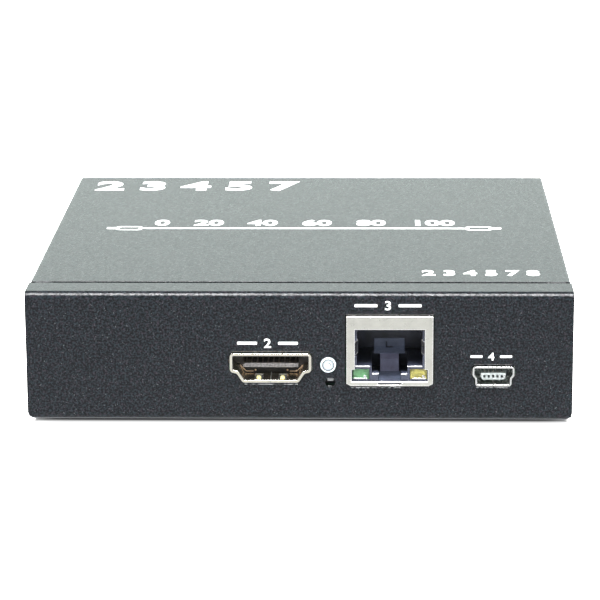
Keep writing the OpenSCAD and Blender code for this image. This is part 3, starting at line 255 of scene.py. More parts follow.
class PrintSettings(bpy.types.PropertyGroup):
    front_height: length("Front figures", "Height of the figures on the front", 1.75 * MM)
    logo_height: length("Large figures", "Height of the large figures at the back of the top", 9.4 * MM)
    scale_height: length("Scale figures", "Height of the figures along the cable line", 5.2 * MM)
    corner_height: length("Corner figures", "Height of the figures near the front of the top", 4.4 * MM)
    line_width: length("Cable line", "Width of the cable line", 1.1 * MM)
    stroke: length("Outline", "Width of the outline of the plugs", 0.75 * MM)


class StudioSettings(bpy.types.PropertyGroup):
    camera: bpy.props.FloatVectorProperty(
        name="Camera", description="Place of the camera", default=(0.01361, -0.5316, 0.15056), size=3,
        subtype="TRANSLATION", unit="LENGTH", precision=5,
    )
    turn: bpy.props.FloatVectorProperty(
        name="Turn", description="Pitch, roll and yaw of the camera", size=3,
        default=(math.radians(14.62), math.radians(-0.305), math.radians(-1.589)),
        subtype="EULER", unit="ROTATION", precision=4,
    )
    lens: bpy.props.FloatProperty(
        name="Lens", description="Focal length in millimetres", default=164.424, min=10,
    )
    key_power: watts("Overhead light", "Power of the light overhead", 22.0)
    side_power: watts("Side lights", "Power of the side lights", 1.5)
    room: share("Room", "Strength of the light from the room", 0.55, 2.0)
    front_room: share("Front room", "Brightness of the room in front of the box as the paint mirrors it", 0.5)
    ceiling: share("Ceiling", "Brightness of the ceiling as the paint mirrors it", 0.12)
    horizon: share("Horizon", "Brightness of the backdrop as the paint mirrors it", 1.33, 2.0)
    floor_mirrored: share("Mirrored floor", "Brightness of the floor in metal and paint", 0.84, 2.0)
    backdrop: colour("Backdrop", "Colour of the backdrop as the paint mirrors it", (0.90, 1.0, 0.955))


GROUPS = {
    "paint": PaintSettings,
    "metal": MetalSettings,
    "plastic": PlasticSettings,
    "prints": PrintSettings,
    "studio": StudioSettings,
}


def settings(group):
    return getattr(bpy.context.scene, "receiver_" + group)


# Finishes


class Nodes:
    """The shader nodes of a finish or of the room, and the coordinates that their patterns read."""

    def __init__(self, tree, space="Object"):
        self.tree = tree
        self.coordinates = self.node("ShaderNodeTexCoord").outputs[space]

    def node(self, kind, **values):
        made = self.tree.nodes.new(kind)
        for key, value in values.items():
            setattr(made, key, value)
        return made

    def connect(self, value, socket):
        """Links an output to the socket, or gives the socket a plain value or an opaque colour."""
        if isinstance(value, bpy.types.NodeSocket):
            self.tree.links.new(value, socket)
        else:
            socket.default_value = (*value, 1) if socket.type == "RGBA" else value

    def feed(self, node, **inputs):
        """Feeds the node's inputs by name."""
        for name, value in inputs.items():
            self.connect(value, node.inputs[name.replace("_", " ")])
        return node

    def fill(self, node, *values):
        """Feeds the node's inputs in their order."""
        for socket, value in zip(node.inputs, values):
            self.connect(value, socket)
        return node

    def axis(self, name):
        """One of the coordinates X, Y and Z."""
        split = self.node("ShaderNodeSeparateXYZ")
        return self.feed(split, Vector=self.coordinates).outputs[name]

    def fit(self, value, low, high, start=0.0, end=1.0):
        """The value brought from the range low to high into the range start to end."""
        node = self.node("ShaderNodeMapRange", clamp=True)
        self.feed(node, Value=value, From_Min=low, From_Max=high, To_Min=start, To_Max=end)
        return node.outputs["Result"]

    def combine(self, operation, *values):
        """Result of that operation on the values."""
        return self.fill(self.node("ShaderNodeMath", operation=operation), *values).outputs["Value"]

    def measure(self, operation, *vectors):
        """Length of a vector or dot product of two."""
        return self.fill(self.node("ShaderNodeVectorMath", operation=operation), *vectors).outputs["Value"]

    def shade(self, kind, **inputs):
        """A shader of that kind."""
        return self.feed(self.node(kind), **inputs).outputs[0]

    def pick(self, factor, first, second):
        """The first shader where the factor is 0, the second where it is 1."""
        return self.fill(self.node("ShaderNodeMixShader"), factor, first, second).outputs[0]


class Finish(Nodes):
    """A material and the nodes that feed its shader. Patterns read the piece's own coordinates, in metres."""

    def __init__(self, name, **fixed):
        self.material = bpy.data.materials.new(name)
        self.material.use_nodes = True
        super().__init__(self.material.node_tree)
        self.shader = self.feed(self.tree.nodes["Principled BSDF"], **fixed)
        self.normal = None

    def stretched(self, stretch, shift=(0, 0, 0)):
        """The piece's coordinates, scaled along each axis and then moved."""
        mapping = self.node("ShaderNodeMapping", vector_type="POINT")
        return self.feed(mapping, Vector=self.coordinates, Scale=stretch, Location=shift).outputs["Vector"]

    def noise(self, size, detail=2.0, stretch=None):
        """Cloudy pattern from 0 to 1 with humps of about that size."""
        place = self.stretched(stretch) if stretch else self.coordinates
        texture = self.node("ShaderNodeTexNoise")
        return self.feed(texture, Vector=place, Scale=1 / size, Detail=detail).outputs["Fac"]

    def mix(self, factor, first, second):
        """The first colour where the factor is 0, the second where it is 1."""
        node = self.node("ShaderNodeMix", data_type="RGBA")
        colours = [socket for socket in node.inputs if socket.type == "RGBA"]
        for socket, value in zip((node.inputs["Factor"], *colours), (factor, first, second)):
            self.connect(value, socket)
        return next(socket for socket in node.outputs if socket.type == "RGBA")

    def bevelled(self, radius):
        """Rounds the normals over the piece's edges. Gives 0 on its faces and 1 along its edges."""
        bevel = self.node("ShaderNodeBevel", samples=4)
        self.normal = self.feed(bevel, Radius=radius).outputs["Normal"]
        flat = self.node("ShaderNodeNewGeometry").outputs["Normal"]
        return self.fit(self.measure("DOT_PRODUCT", self.normal, flat), EDGE_BEGINS, EDGE_FULL)

    def bump(self, height, distance, strength=1.0):
        """Adds relief of that distance, in metres, over the relief so far."""
        bump = self.node("ShaderNodeBump")
        self.feed(bump, Height=height, Distance=distance, Strength=strength)
        if self.normal is not None:
            self.feed(bump, Normal=self.normal)
        self.normal = bump.outputs["Normal"]

    def done(self, base, roughness):
        """The material, with its colour, roughness and relief."""
        self.feed(self.shader, Base_Color=base, Roughness=roughness)
        if self.normal is not None:
            self.feed(self.shader, Normal=self.normal, Coat_Normal=self.normal)
        return self.material


def scaled(tone, factor):
    return tuple(min(1.0, c * factor) for c in tone)


def powder_coat():
    """Fine black powder coat: humps, tinted flecks, a few pale specks, and edges painted paler as a
    highlight.
    """
    paint = settings("paint")
    finish = Finish("powder_coat", Coat_Roughness=0.18, Coat_IOR=1.335, Specular_IOR_Level=0.06)
    edge = finish.bevelled(0.22 * MM)
    grain = finish.noise(paint.grain, 3.0)
    finish.bump(finish.noise(9 * MM), 0.03 * MM, 0.4)
    finish.bump(grain, paint.grain_height)
    flecks = finish.fit(finish.noise(0.36 * MM), 0.40, 0.62)
    tints = finish.fit(finish.noise(0.65 * MM, 1.0, (1.0, 1.0, 1.1)), 0.46, 0.66)
    cool = finish.mix(flecks, scaled(paint.coat, 0.4), scaled(paint.coat, 1.95))
    warm = finish.mix(flecks, scaled(paint.coat, 0.4), (0.022, 0.018, 0.024))
    base = finish.mix(tints, cool, warm)
    specks = finish.fit(finish.noise(0.3 * MM, 1.0), 0.70, 0.78)
    base = finish.mix(finish.combine("MULTIPLY", specks, 0.7), base, paint.speck)
    # Painted highlight: the edges are mixed towards the pale speck colour
    base = finish.mix(finish.combine("MULTIPLY", edge, 0.4), base, paint.speck)
    # The clear layer is uneven, and breaks into sparks along the bend between the front and the top
    front = finish.fit(finish.axis("Y"), FRONT_Y + 0.2 * MM, FRONT_Y + 0.9 * MM, 1.0, 0.0)
    top = finish.fit(finish.axis("Z"), TOP_Z - 1.0 * MM, TOP_Z - 0.6 * MM)
    gaps = finish.fit(finish.noise(0.6 * MM), 0.42, 0.58, 0.0, 0.85)
    lost = finish.combine("MULTIPLY", finish.combine("MULTIPLY", front, top), gaps)
    uneven = finish.noise(0.5 * MM, stretch=(1.0, 0.3, 1.0))
    layer = finish.fit(uneven, 0.35, 0.65, 0.78 * paint.gloss, paint.gloss)
    left = finish.combine("MULTIPLY", layer, finish.combine("SUBTRACT", 1.0, lost))
    finish.feed(finish.shader, Coat_Weight=left)
    rough = finish.fit(grain, 0.3, 0.7, paint.roughness - 0.06, paint.roughness + 0.08)
    return finish.done(base, rough)


def plated(name, tone, roughness=0.24, edge_size=0.12 * MM, dull=0.86, glint=0.0, sheen=0.0):
    """Plated sheet: fine drawing marks along the depth, duller patches, and edges painted brighter as a
    highlight.
    """
    finish = Finish(name, Metallic=1.0)
    edge = finish.bevelled(edge_size)
    finish.bump(finish.noise(0.12 * MM, stretch=(1, 0.12, 1)), 0.003 * MM)
    patches = finish.fit(finish.noise(1.6 * MM, 4.0), 0.35, 0.75)
    base = finish.mix(patches, tone, scaled(tone, dull))
    # Painted highlight: the edges are brighter
    base = finish.mix(edge, base, scaled(tone, 1.25))
    rough = finish.fit(finish.noise(0.9 * MM, 3.0), 0.3, 0.7, roughness - 0.05, roughness + 0.07)
    # Painted light: the edges glow by the glint, and the whole piece by the sheen
    if glint or sheen:
        shine = finish.combine("ADD", finish.combine("MULTIPLY", edge, glint), sheen)
        finish.feed(finish.shader, Emission_Color=scaled(tone, 1.3), Emission_Strength=shine)
    return finish.done(base, rough)


def moulded(name, tone, roughness=0.42, grain=0.25 * MM, relief=0.004 * MM, spread=0.25, **fixed):
    """Moulded plastic: fine spark-eroded grain, a little unevenness of tone, and soft edges painted paler as
    a highlight.
    """
    finish = Finish(name, **fixed)
    edge = finish.bevelled(0.1 * MM)
    grains = finish.noise(grain)
    finish.bump(grains, relief)
    cloud = finish.fit(finish.noise(2.4 * MM, 3.0), 0.35, 0.68)
    base = finish.mix(cloud, scaled(tone, 1 - spread), scaled(tone, 1 + spread))
    # Painted highlight: the edges are paler
    base = finish.mix(finish.combine("MULTIPLY", edge, 0.4), base, scaled(tone, 1.8))
    return finish.done(base, finish.fit(grains, 0.3, 0.7, roughness - 0.07, roughness + 0.1))


def tongue_plastic(node, tone, pale_front, reach):
    """Insulator of a socket: moulded plastic, paler in spots towards the front, with its edges there painted
    paler still as a highlight.
    """
    finish = Finish(node.replace("insulator", "tongue_plastic"))
    edge = finish.bevelled(0.08 * MM)
    finish.bump(finish.noise(0.35 * MM), 0.03 * MM)
    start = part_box(node)[0].y + 0.1 * MM
    # Paler in spots towards the front, in the second colour
    towards_front = finish.fit(finish.axis("Y"), start, start + reach, 1.0, 0.0)
    spots = finish.fit(finish.noise(0.4 * MM), 0.35, 0.62, 0.35, 1.0)
    base = finish.mix(finish.combine("MULTIPLY", spots, towards_front), tone, pale_front)
    # Painted highlight: the edges in front are paler still
    front_edge_highlight = finish.combine("MULTIPLY", edge, finish.combine("MULTIPLY", towards_front, 0.6))
    return finish.done(finish.mix(front_edge_highlight, base, scaled(pale_front, 1.3)), 0.5)


def lens_plastic(name, tone):
    """Tinted clear plastic with the light body showing through unevenly, and edges painted bright as a
    highlight.
    """
    finish = Finish(name, Transmission_Weight=0.25, IOR=1.49)
    edge = finish.bevelled(0.12 * MM)
    finish.bump(finish.noise(0.4 * MM), 0.008 * MM)
    depth = finish.fit(finish.noise(0.9 * MM, 3.0), 0.35, 0.65)
    base = finish.mix(depth, scaled(tone, 0.6), scaled(tone, 1.35))
    # Painted highlight: the edges are brighter
    base = finish.mix(finish.combine("MULTIPLY", edge, 0.7), base, scaled(tone, 2.2))
    return finish.done(base, 0.3)


def status_lens():
    """Milky lens: bright rim, grey ring and a pale disc with a dark curved mark, where the chip shows."""
    # The lens's rings are painted reflections and shade in its dome, in its base colour
    tone = settings("plastic").status
    low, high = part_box("status_light")
    middle = (low + high) / 2
    finish = Finish("status_lens", Coat_Weight=0.6)
    finish.bevelled(0.08 * MM)
    finish.bump(finish.noise(0.5 * MM), 0.006 * MM)
    flat = finish.stretched((1 / MM, 0, 1 / MM), (-middle.x / MM, 0, -middle.z / MM))
    reach = finish.measure("LENGTH", flat)
    rings = finish.node("ShaderNodeValToRGB")
    finish.feed(rings, Fac=finish.combine("DIVIDE", reach, LENS_REACH))
    elements = rings.color_ramp.elements
    for place, _ in LENS_RINGS[2:]:
        elements.new(place)
    for element, (place, level) in zip(elements, LENS_RINGS):
        element.position = place
        element.color = (*scaled(tone, level), 1)
    bow = finish.combine("ABSOLUTE", finish.combine("SUBTRACT", reach, LENS_MARK_R))
    slant = finish.measure("DOT_PRODUCT", flat, (1, 0, 1))
    mark = finish.combine("MULTIPLY", finish.fit(bow, 0.20, 0.08), finish.fit(slant, 0.12, 0.42))
    mark = finish.combine("MULTIPLY", mark, 0.8)
    return finish.done(finish.mix(mark, rings.outputs["Color"], scaled(tone, 0.22)), 0.22)


def board_laminate():
    """Green solder mask over copper tracks, which lie as slightly raised paler lines."""
    finish = Finish("board_laminate", Coat_Weight=0.3)
    edge = finish.bevelled(0.1 * MM)
    tracks = finish.node("ShaderNodeTexBrick", offset=0.35, squash=0.6, squash_frequency=3)
    finish.feed(tracks, Vector=finish.coordinates, Scale=1 / (9 * MM), Mortar_Size=0.035, Mortar_Smooth=0.2)
    line = finish.fit(tracks.outputs["Fac"], 0.2, 0.8)
    finish.bump(line, 0.03 * MM)
    weave = finish.noise(0.5 * MM)
    finish.bump(weave, 0.004 * MM)
    base = finish.mix(finish.fit(weave, 0.3, 0.7), (0.006, 0.050, 0.024), (0.009, 0.075, 0.036))
    base = finish.mix(line, base, (0.03, 0.17, 0.075))
    base = finish.mix(finish.combine("MULTIPLY", edge, 0.6), base, (0.30, 0.28, 0.16))
    return finish.done(base, 0.32)


def sleeve_print():
    """Dark capacitor sleeve with pale stripes down its sides."""
    finish = Finish("sleeve_print")
    finish.bevelled(0.2 * MM)
    finish.bump(finish.noise(0.3 * MM), 0.006 * MM)
    wave = finish.node("ShaderNodeTexWave", wave_type="BANDS", bands_direction="X")
    finish.feed(wave, Vector=finish.coordinates, Scale=18.0, Distortion=0.0)
    stripe = finish.fit(wave.outputs["Fac"], 0.93, 0.96)
    base = finish.mix(finish.noise(2 * MM, 3.0), (0.015, 0.018, 0.024), (0.03, 0.034, 0.042))
    return finish.done(finish.mix(stripe, base, (0.42, 0.43, 0.45)), 0.35)


def small_parts_finish():
    """Tan and dark ceramic bodies, with tin specks."""
    finish = Finish("small_parts_finish")
    finish.bevelled(0.06 * MM)
    tone = finish.fit(finish.noise(2.2 * MM, 1.0), 0.35, 0.65)
    base = finish.mix(tone, (0.30, 0.22, 0.13), (0.05, 0.045, 0.042))
    speck = finish.fit(finish.noise(0.2 * MM), 0.5, 0.7)
    return finish.done(finish.mix(finish.combine("MULTIPLY", speck, 0.4), base, (0.55, 0.53, 0.50)), 0.4)


def bare_edge():
    """Painted highlight on the lower edge of a cut-out: pale grey spots on the black paint."""
    finish = Finish("bare_edge")
    finish.bump(finish.noise(0.3 * MM), 0.02 * MM)
    spots = finish.fit(finish.noise(0.7 * MM), 0.44, 0.62)
    return finish.done(finish.mix(spots, scaled(settings("paint").coat, 2.0), (0.36, 0.37, 0.38)), 0.5)


def printed_ink():
    """White screen ink: almost opaque, thin in pinholes where the grain of the paint shows through."""
    paint = settings("paint")
    finish = Finish("printed_ink")
    finish.bump(finish.noise(paint.grain, 3.0), 0.6 * paint.grain_height)
    thin = finish.fit(finish.noise(0.5 * MM, 3.0), 0.60, 0.78)
    base = finish.mix(finish.combine("MULTIPLY", thin, 0.5), paint.ink, scaled(paint.ink, 0.35))
    return finish.done(base, 0.5)


def finishes():
    """One finish for each material of the real box, with the CAD nodes that have it."""
    metal, plastic = settings("metal"), settings("plastic")
    ramp = plastic.ramp
    # Painted light: the reset button glows, though it is no lamp
    button_painted_glow = {"Emission_Color": plastic.button, "Emission_Strength": 0.35}
    # Painted light: the latch ramp and its ridge glow in the ramp colour, though they are no lamps
    ramp_painted_glow = {"Emission_Color": ramp, "Emission_Strength": 0.2}
    ridge_painted_glow = {"Emission_Color": (1.2 * ramp[0], ramp[1], ramp[2]), "Emission_Strength": 0.3}
    return [
        (powder_coat(), ["base_tray", "top_cover"]),
        (plated("blackened_screw", (0.06, 0.06, 0.065), 0.35, dull=0.7), ["cover_screws"]),
        (moulded("foot_rubber", (0.018, 0.018, 0.018), 0.7, 0.4 * MM, 0.02 * MM), ["rubber_feet"]),
        (plated("plain_steel", metal.steel, 0.3), [
            "standoffs", "board_screws", "status_light_leads", "reset_switch_dome", "power_jack_pin",
            "power_jack_spring", "crystals", "infrared_out_contacts", "infrared_in_contacts",
        ]),
        (plated("switch_plate", scaled(metal.steel, 1.2), 0.25), ["reset_switch_plate"]),
        (board_laminate(), ["circuit_board"]),
        # The shells' edges glow a little by their glint, a painted highlight
        (plated("video_shell_plating", metal.video, 0.2, glint=0.35), ["video_shell"]),
        (plated("shield_plating", metal.shield, 0.3, 0.3 * MM, glint=0.75),
         ["network_shield", "link_shield"]),
        (plated("service_shell_plating", metal.service, 0.25, glint=0.3), ["service_shell"]),
        (plated("gilt_contacts", metal.contact, 0.2), ["network_contacts", "link_contacts"]),
        # The video contacts are plain dark grey, darker than the other contacts
        (plated("dusty_contacts", (0.34, 0.32, 0.31), 0.4), ["video_contacts"]),
        (plated("tinned_contacts", (0.75, 0.74, 0.72), 0.25), ["service_contacts"]),
        (tongue_plastic("video_insulator", plastic.video, (0.22, 0.21, 0.21), 0.5 * MM),
         ["video_insulator"]),
        (tongue_plastic("service_insulator", plastic.service, (0.46, 0.50, 0.50), 0.7 * MM),
         ["service_insulator"]),
        (moulded("housing_plastic", plastic.housing, 0.35), ["network_housing", "link_housing"]),
        (lens_plastic("left_light_lens", plastic.left_light), ["network_left_light", "link_left_light"]),
        (lens_plastic("right_light_lens", plastic.right_light), ["network_right_light", "link_right_light"]),
        (status_lens(), ["status_light"]),
        (moulded("switch_plastic", (0.02, 0.021, 0.023), 0.45), ["reset_switch_body"]),
        (moulded("button_plastic", plastic.button, 0.4, **button_painted_glow), ["reset_button"]),
        (moulded("jack_plastic", (0.014, 0.014, 0.015), 0.38),
         ["infrared_out_jack", "infrared_in_jack", "power_jack_body"]),
        (moulded("chip_resin", (0.022, 0.022, 0.024), 0.55, 0.15 * MM, 0.006 * MM), [
            "receiver_chip", "network_chip", "controller_chip", "memory_chip", "link_transformer",
            "voltage_regulator",
        ]),
        (moulded("pad_gum", (0.20, 0.28, 0.32), 0.6), ["thermal_pad"]),
        (plated("sink_anodising", (0.10, 0.10, 0.105), 0.4, dull=0.8), ["heat_sink"]),
        (sleeve_print(), ["electrolytic_capacitors"]),
        (moulded("ferrite", (0.05, 0.052, 0.055), 0.6, 0.3 * MM, 0.015 * MM), ["power_inductors"]),
        (small_parts_finish(), ["small_components"]),
        # Only on pieces that this script adds
        # The ridge is the same plastic as the ramp, painted lighter as a highlight
        (moulded("ramp_plastic", scaled(ramp, 0.3), 0.45, spread=0.5, **ramp_painted_glow), []),
        (moulded("ridge_plastic", scaled(ramp, 0.5), 0.35, 0.6 * MM, 0.03 * MM, 0.6, **ridge_painted_glow), []),
        # Painted light: the first of these three makes the highlight bars and glints at the network and link
        # sockets, the last the seam highlights in the video socket, and all three glow a little by their
        # sheen
        (plated("worn_edge_plating", (0.74, 0.73, 0.76), 0.4, sheen=0.08), []),
        (plated("gilt_tips", (0.95, 0.86, 0.50), 0.35, sheen=0.25), []),
        (plated("copper_lines", (0.72, 0.52, 0.36), 0.3, sheen=0.22), []),
        (bare_edge(), []),
        (printed_ink(), []),
    ]


# Filled when the first group of pieces gets its finishes
FINISHES = []


def finish_nodes(names):
    """Gives each named CAD node its finish. Its mesh stays as it is."""
    if not FINISHES:
        FINISHES.extend(finishes())
    for material, nodes in FINISHES:
        for piece in [NODES[name] for name in nodes if name in names]:
            if not piece.material_slots:
                piece.data.materials.append(material)
            for slot in piece.material_slots:
                slot.material = material


def nodes_of(starts):
    return [name for name in NODES if name.startswith(starts)]


# Modelling


def clear_selection():
    if bpy.context.object and bpy.context.object.mode != "OBJECT":
        bpy.ops.object.mode_set(mode="OBJECT")
    bpy.ops.object.select_all(action="DESELECT")


def only(piece):
    clear_selection()
    bpy.context.view_layer.objects.active = piece
    piece.select_set(True)


def lay(piece, matrix):
    """Puts the piece where the matrix says and applies that to its mesh."""
    only(piece)
    piece.matrix_world = matrix
    bpy.ops.object.transform_apply(location=True, rotation=True, scale=True)
    return piece


def settle(piece, name, finish):
    """Names the piece and gives it its finish. It rides on the case."""
    piece.name = name
    piece.data.name = name
    piece.data.materials.clear()
    piece.data.materials.append(bpy.data.materials[finish])
    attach(piece, "case")


def join(pieces):
    clear_selection()
    for piece in pieces:
        piece.select_set(True)
    bpy.context.view_layer.objects.active = pieces[0]
    bpy.ops.object.join()
    return bpy.context.object


def figures(text, height, depth, width=None, stretch=1.15, bold=0.02):
    """Plain figures as a mesh in the XY plane, centred. Without a width they keep their own, stretched."""
    clear_selection()
    bpy.ops.object.text_add(location=(0, 0, 0))
    piece = bpy.context.object
    piece.data.body = text
    piece.data.align_x = "CENTER"
    piece.data.align_y = "CENTER"
    piece.data.resolution_u = 6
    piece.data.offset = bold
    piece.data.extrude = 0.5
    bpy.ops.object.convert(target="MESH")
    if width is None:
        width = stretch * height * piece.dimensions.x / piece.dimensions.y
    fit_to(piece, (width, height, depth))
    return piece


def fit_to(piece, sizes):
    """Scales and centres a piece to those outer sizes along X, Y and Z."""
    only(piece)
    corners = [Vector(c) for c in piece.bound_box]
    low = Vector([min(c[i] for c in corners) for i in range(3)])
    high = Vector([max(c[i] for c in corners) for i in range(3)])
    bpy.ops.object.mode_set(mode="EDIT")
    bpy.ops.mesh.select_all(action="SELECT")
    bpy.ops.mesh.remove_doubles(threshold=1e-5)
    bpy.ops.transform.translate(value=-(low + high) / 2)
    factors = [size / extent for size, extent in zip(sizes, high - low)]
    bpy.ops.transform.resize(value=factors, center_override=(0, 0, 0))
    bpy.ops.object.mode_set(mode="OBJECT")


def flat_bar(width, height, depth, segments=3, stroke=None):
    """Flat bar with round corners in the XY plane, centred. With a stroke it is only a frame that wide."""
    clear_selection()
    bpy.ops.mesh.primitive_plane_add(size=1, location=(0, 0, 0))
    piece = bpy.context.object
    bpy.ops.object.mode_set(mode="EDIT")
    bpy.ops.transform.resize(value=(width, height, 1), center_override=(0, 0, 0))
    bpy.ops.mesh.bevel(offset=CORNER * min(width, height), segments=segments, affect="VERTICES")
    if stroke is not None:
        bpy.ops.mesh.inset(thickness=stroke, use_boundary=True)
        bpy.ops.mesh.delete(type="FACE")
    bpy.ops.mesh.select_all(action="SELECT")
    bpy.ops.mesh.extrude_region_move(TRANSFORM_OT_translate={"value": (0, 0, depth)})
    bpy.ops.mesh.select_all(action="SELECT")
    bpy.ops.transform.translate(value=(0, 0, -depth / 2))
    bpy.ops.mesh.normals_make_consistent(inside=False)
    bpy.ops.object.mode_set(mode="OBJECT")
    return piece


def soft_block(size, middle, turn=0.0, edge=0.25, slope=0.0):
    """Small block with rounded edges, turned about the depth and sloped along it, round the given middle."""
    clear_selection()
    bpy.ops.mesh.primitive_cube_add(size=1, location=(0, 0, 0))
    piece = bpy.context.object
    bpy.ops.object.mode_set(mode="EDIT")
    bpy.ops.transform.resize(value=size, center_override=(0, 0, 0))
    bpy.ops.mesh.select_all(action="SELECT")
    bpy.ops.mesh.bevel(offset=edge * min(size), segments=2, affect="EDGES")
    bpy.ops.object.mode_set(mode="OBJECT")
    place = Matrix.Translation(middle)
    return lay(piece, place @ Matrix.Rotation(turn, 4, "Y") @ Matrix.Rotation(slope, 4, "X"))


def blocks_at(node, tall, blocks):
    """Blocks at a socket with a shell that tall, in the front or in the rear wall, joined to one piece."""
    low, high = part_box(node)
    inward, nose = (1, low.y) if low.y < 0 else (-1, high.y)
    made = []
    for block in blocks:
        x, y, z = (value * MM for value in block.spot)
        middle = ((low.x + high.x) / 2 + x, nose + inward * y, high.z - tall * MM + z)
        size = [value * MM for value in block.size]
        made.append(soft_block(size, middle, block.turn, block.edge, inward * block.slope))
    return join(made)


def near_node(node, shift, rise):
    """Place on the front wall, to the right of the node's middle and over its top by those millimetres."""
    low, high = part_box(node)
    return (low.x + high.x) / 2 + shift * MM, high.z + rise * MM


def on_front(piece, x, z):
    """Stands a flat piece up on the front wall, sunk a quarter of its thickness into the paint."""
    ink = settings("paint").ink_height
    return lay(piece, Matrix.Translation((x, FRONT_Y - ink / 4, z)) @ Matrix.Rotation(math.pi / 2, 4, "X"))


def on_top(piece, x, y):
    """Lays a flat piece on the cover, sunk a quarter of its thickness into the paint."""
    return lay(piece, Matrix.Translation((x, y, TOP_Z + settings("paint").ink_height / 4)))


def latch_edges(socket):
    """Painted highlight bars and glints of a network or link socket, and the ramp in it that a plug's latch
    slides over.
    """
    for name, blocks, finish, slot in (
        ("bright_edges", HIGHLIGHT_BARS, "worn_edge_plating", "shield_nickel"),
        ("light_glints", LIGHT_GLINTS, "worn_edge_plating", "light_clear"),
        ("latch_ramp", LATCH_RAMP, "ramp_plastic", "socket_black"),
        ("latch_ridge", LATCH_RIDGE, "ridge_plastic", "socket_black"),
        ("ramp_notch", RAMP_NOTCH, "housing_plastic", "socket_black"),
    ):
        settle(blocks_at(socket + "_shield", SHIELD_H, blocks), f"{socket}_{name}", finish)


def video_details():
    """Copper-tinted painted highlight lines behind the video socket's mouth and the spring tips in its floor.
    """
    lines = blocks_at("video_shell", VIDEO_H, SEAM_HIGHLIGHTS)
    settle(lines, "video_copper_lines", "copper_lines")
    tips = blocks_at("video_shell", VIDEO_H, SPRING_TIPS)
    settle(tips, "video_spring_tips", "gilt_tips")


# Operators


class RECEIVER_OT_case(bpy.types.Operator):
    """Finishes the case, its screws and its feet"""

    bl_idname = "receiver.case"
    bl_label = "Case"

    def execute(self, context):
        finish_nodes(nodes_of(CASE))
        return {"FINISHED"}


class RECEIVER_OT_front_sockets(bpy.types.Operator):
    """Finishes the video, network and service sockets"""

    bl_idname = "receiver.front_sockets"
    bl_label = "Front sockets"

    def execute(self, context):
        finish_nodes(nodes_of(FRONT))
        latch_edges("network")
        video_details()
        return {"FINISHED"}


class RECEIVER_OT_controls(bpy.types.Operator):
    """Finishes the status light and the reset switch"""

    bl_idname = "receiver.controls"
    bl_label = "Light and switch"

    def execute(self, context):
        finish_nodes(nodes_of(CONTROLS))
        return {"FINISHED"}


class RECEIVER_OT_rear_sockets(bpy.types.Operator):
    """Finishes the link socket, the infrared jacks and the power jack"""

    bl_idname = "receiver.rear_sockets"
    bl_label = "Rear sockets"

    def execute(self, context):
        finish_nodes(nodes_of(REAR))
        latch_edges("link")
        return {"FINISHED"}


class RECEIVER_OT_board(bpy.types.Operator):
    """Finishes the circuit board and all that stands on it or holds it"""

    bl_idname = "receiver.board"
    bl_label = "Board"

    def execute(self, context):
        others = nodes_of(CASE + FRONT + CONTROLS + REAR)
        finish_nodes([name for name in NODES if name not in others])
        return {"FINISHED"}


class RECEIVER_OT_front_prints(bpy.types.Operator):
    """Prints a plain number between two bars over each socket, and paints highlights on the cut-outs' lower
    edges
    """

    bl_idname = "receiver.front_prints"
    bl_label = "Front prints"

    def execute(self, context):
        depth = settings("paint").ink_height
        for text, node, shift, rise, width, part in FRONT_MARKS:
            x, z = near_node(node, shift, rise)
            height = part * settings("prints").front_height
            span = (width * MM - MARK_GAP * height) / 2
            offset = (width * MM - span) / 2
            pieces = [on_front(figures(text, height, depth), x, z)]
            for side in (-1, 1):
                pieces.append(on_front(flat_bar(span, MARK_BAR * height, depth), x + side * offset, z))
            settle(join(pieces), f"front_mark_{text}", "printed_ink")
        glints = []
        for node, shift, rise, width in CUTOUT_GLINTS:
            strip = flat_bar(width * MM, GLINT_H * MM, depth / 2)
            glints.append(on_front(strip, *near_node(node, shift, rise)))
        settle(join(glints), "cutout_glints", "bare_edge")
        return {"FINISHED"}


class RECEIVER_OT_top_prints(bpy.types.Operator):
    """Prints the cable line with its plugs, its scale of plain numbers and the other figures on the top"""

    bl_idname = "receiver.top_prints"
    bl_label = "Top prints"

    def execute(self, context):
        prints, depth = settings("prints"), settings("paint").ink_height
        x, y = (value * MM for value in CABLE_MIDDLE)
        plug, tip = [value * MM for value in PLUG_SIZE], [value * MM for value in TIP_SIZE]
        parts = [on_top(flat_bar(CABLE_L * MM, prints.line_width, depth), x, y)]
        for side in (-1, 1):
            outline = flat_bar(*plug, depth, segments=4, stroke=prints.stroke)
            parts.append(on_top(outline, (PLUG_MIDDLE + side * PLUG_REACH) * MM, y))
            parts.append(on_top(flat_bar(*tip, depth), (PLUG_MIDDLE + side * TIP_REACH) * MM, y))
        settle(join(parts), "cable_line", "printed_ink")
        for name, text, height, width, bold, (x, y) in TOP_FIGURES:
            piece = figures(text, getattr(prints, height), depth, width * MM, bold=bold)
            settle(on_top(piece, x * MM, y * MM), name, "printed_ink")
        return {"FINISHED"}


class RECEIVER_OT_stage(bpy.types.Operator):
    """Sets up the camera, the lights, the room and the floor"""

    bl_idname = "receiver.stage"
    bl_label = "Stage"

    def execute(self, context):
        studio = settings("studio")
        set_camera(studio)
        set_room(studio)
        for name, power, place, target, size in LAMPS:
            lamp(name, getattr(studio, power), place, target, size)
        set_floor(studio)
        return {"FINISHED"}


# Stage


def set_camera(studio):
    """Camera at its place, looking along the depth until pitch, roll and yaw turn it."""
    pitch, roll, yaw = studio.turn
    level = Matrix(((1, 0, 0), (0, 0, -1), (0, 1, 0)))
    tilt = Matrix.Rotation(roll, 3, "Z") @ Matrix.Rotation(pitch, 3, "X")
    turned = tilt @ level @ Matrix.Rotation(yaw, 3, "Z")
    camera = bpy.data.objects.new("camera", bpy.data.cameras.new("camera"))
    bpy.context.scene.collection.objects.link(camera)
    camera.data.lens = studio.lens
    camera.data.sensor_width = 36
    camera.data.clip_start = 0.01
    axes = Matrix((turned[0], -turned[1], -turned[2])).transposed()
    camera.matrix_world = Matrix.Translation(studio.camera) @ axes.to_4x4()
    bpy.context.scene.camera = camera


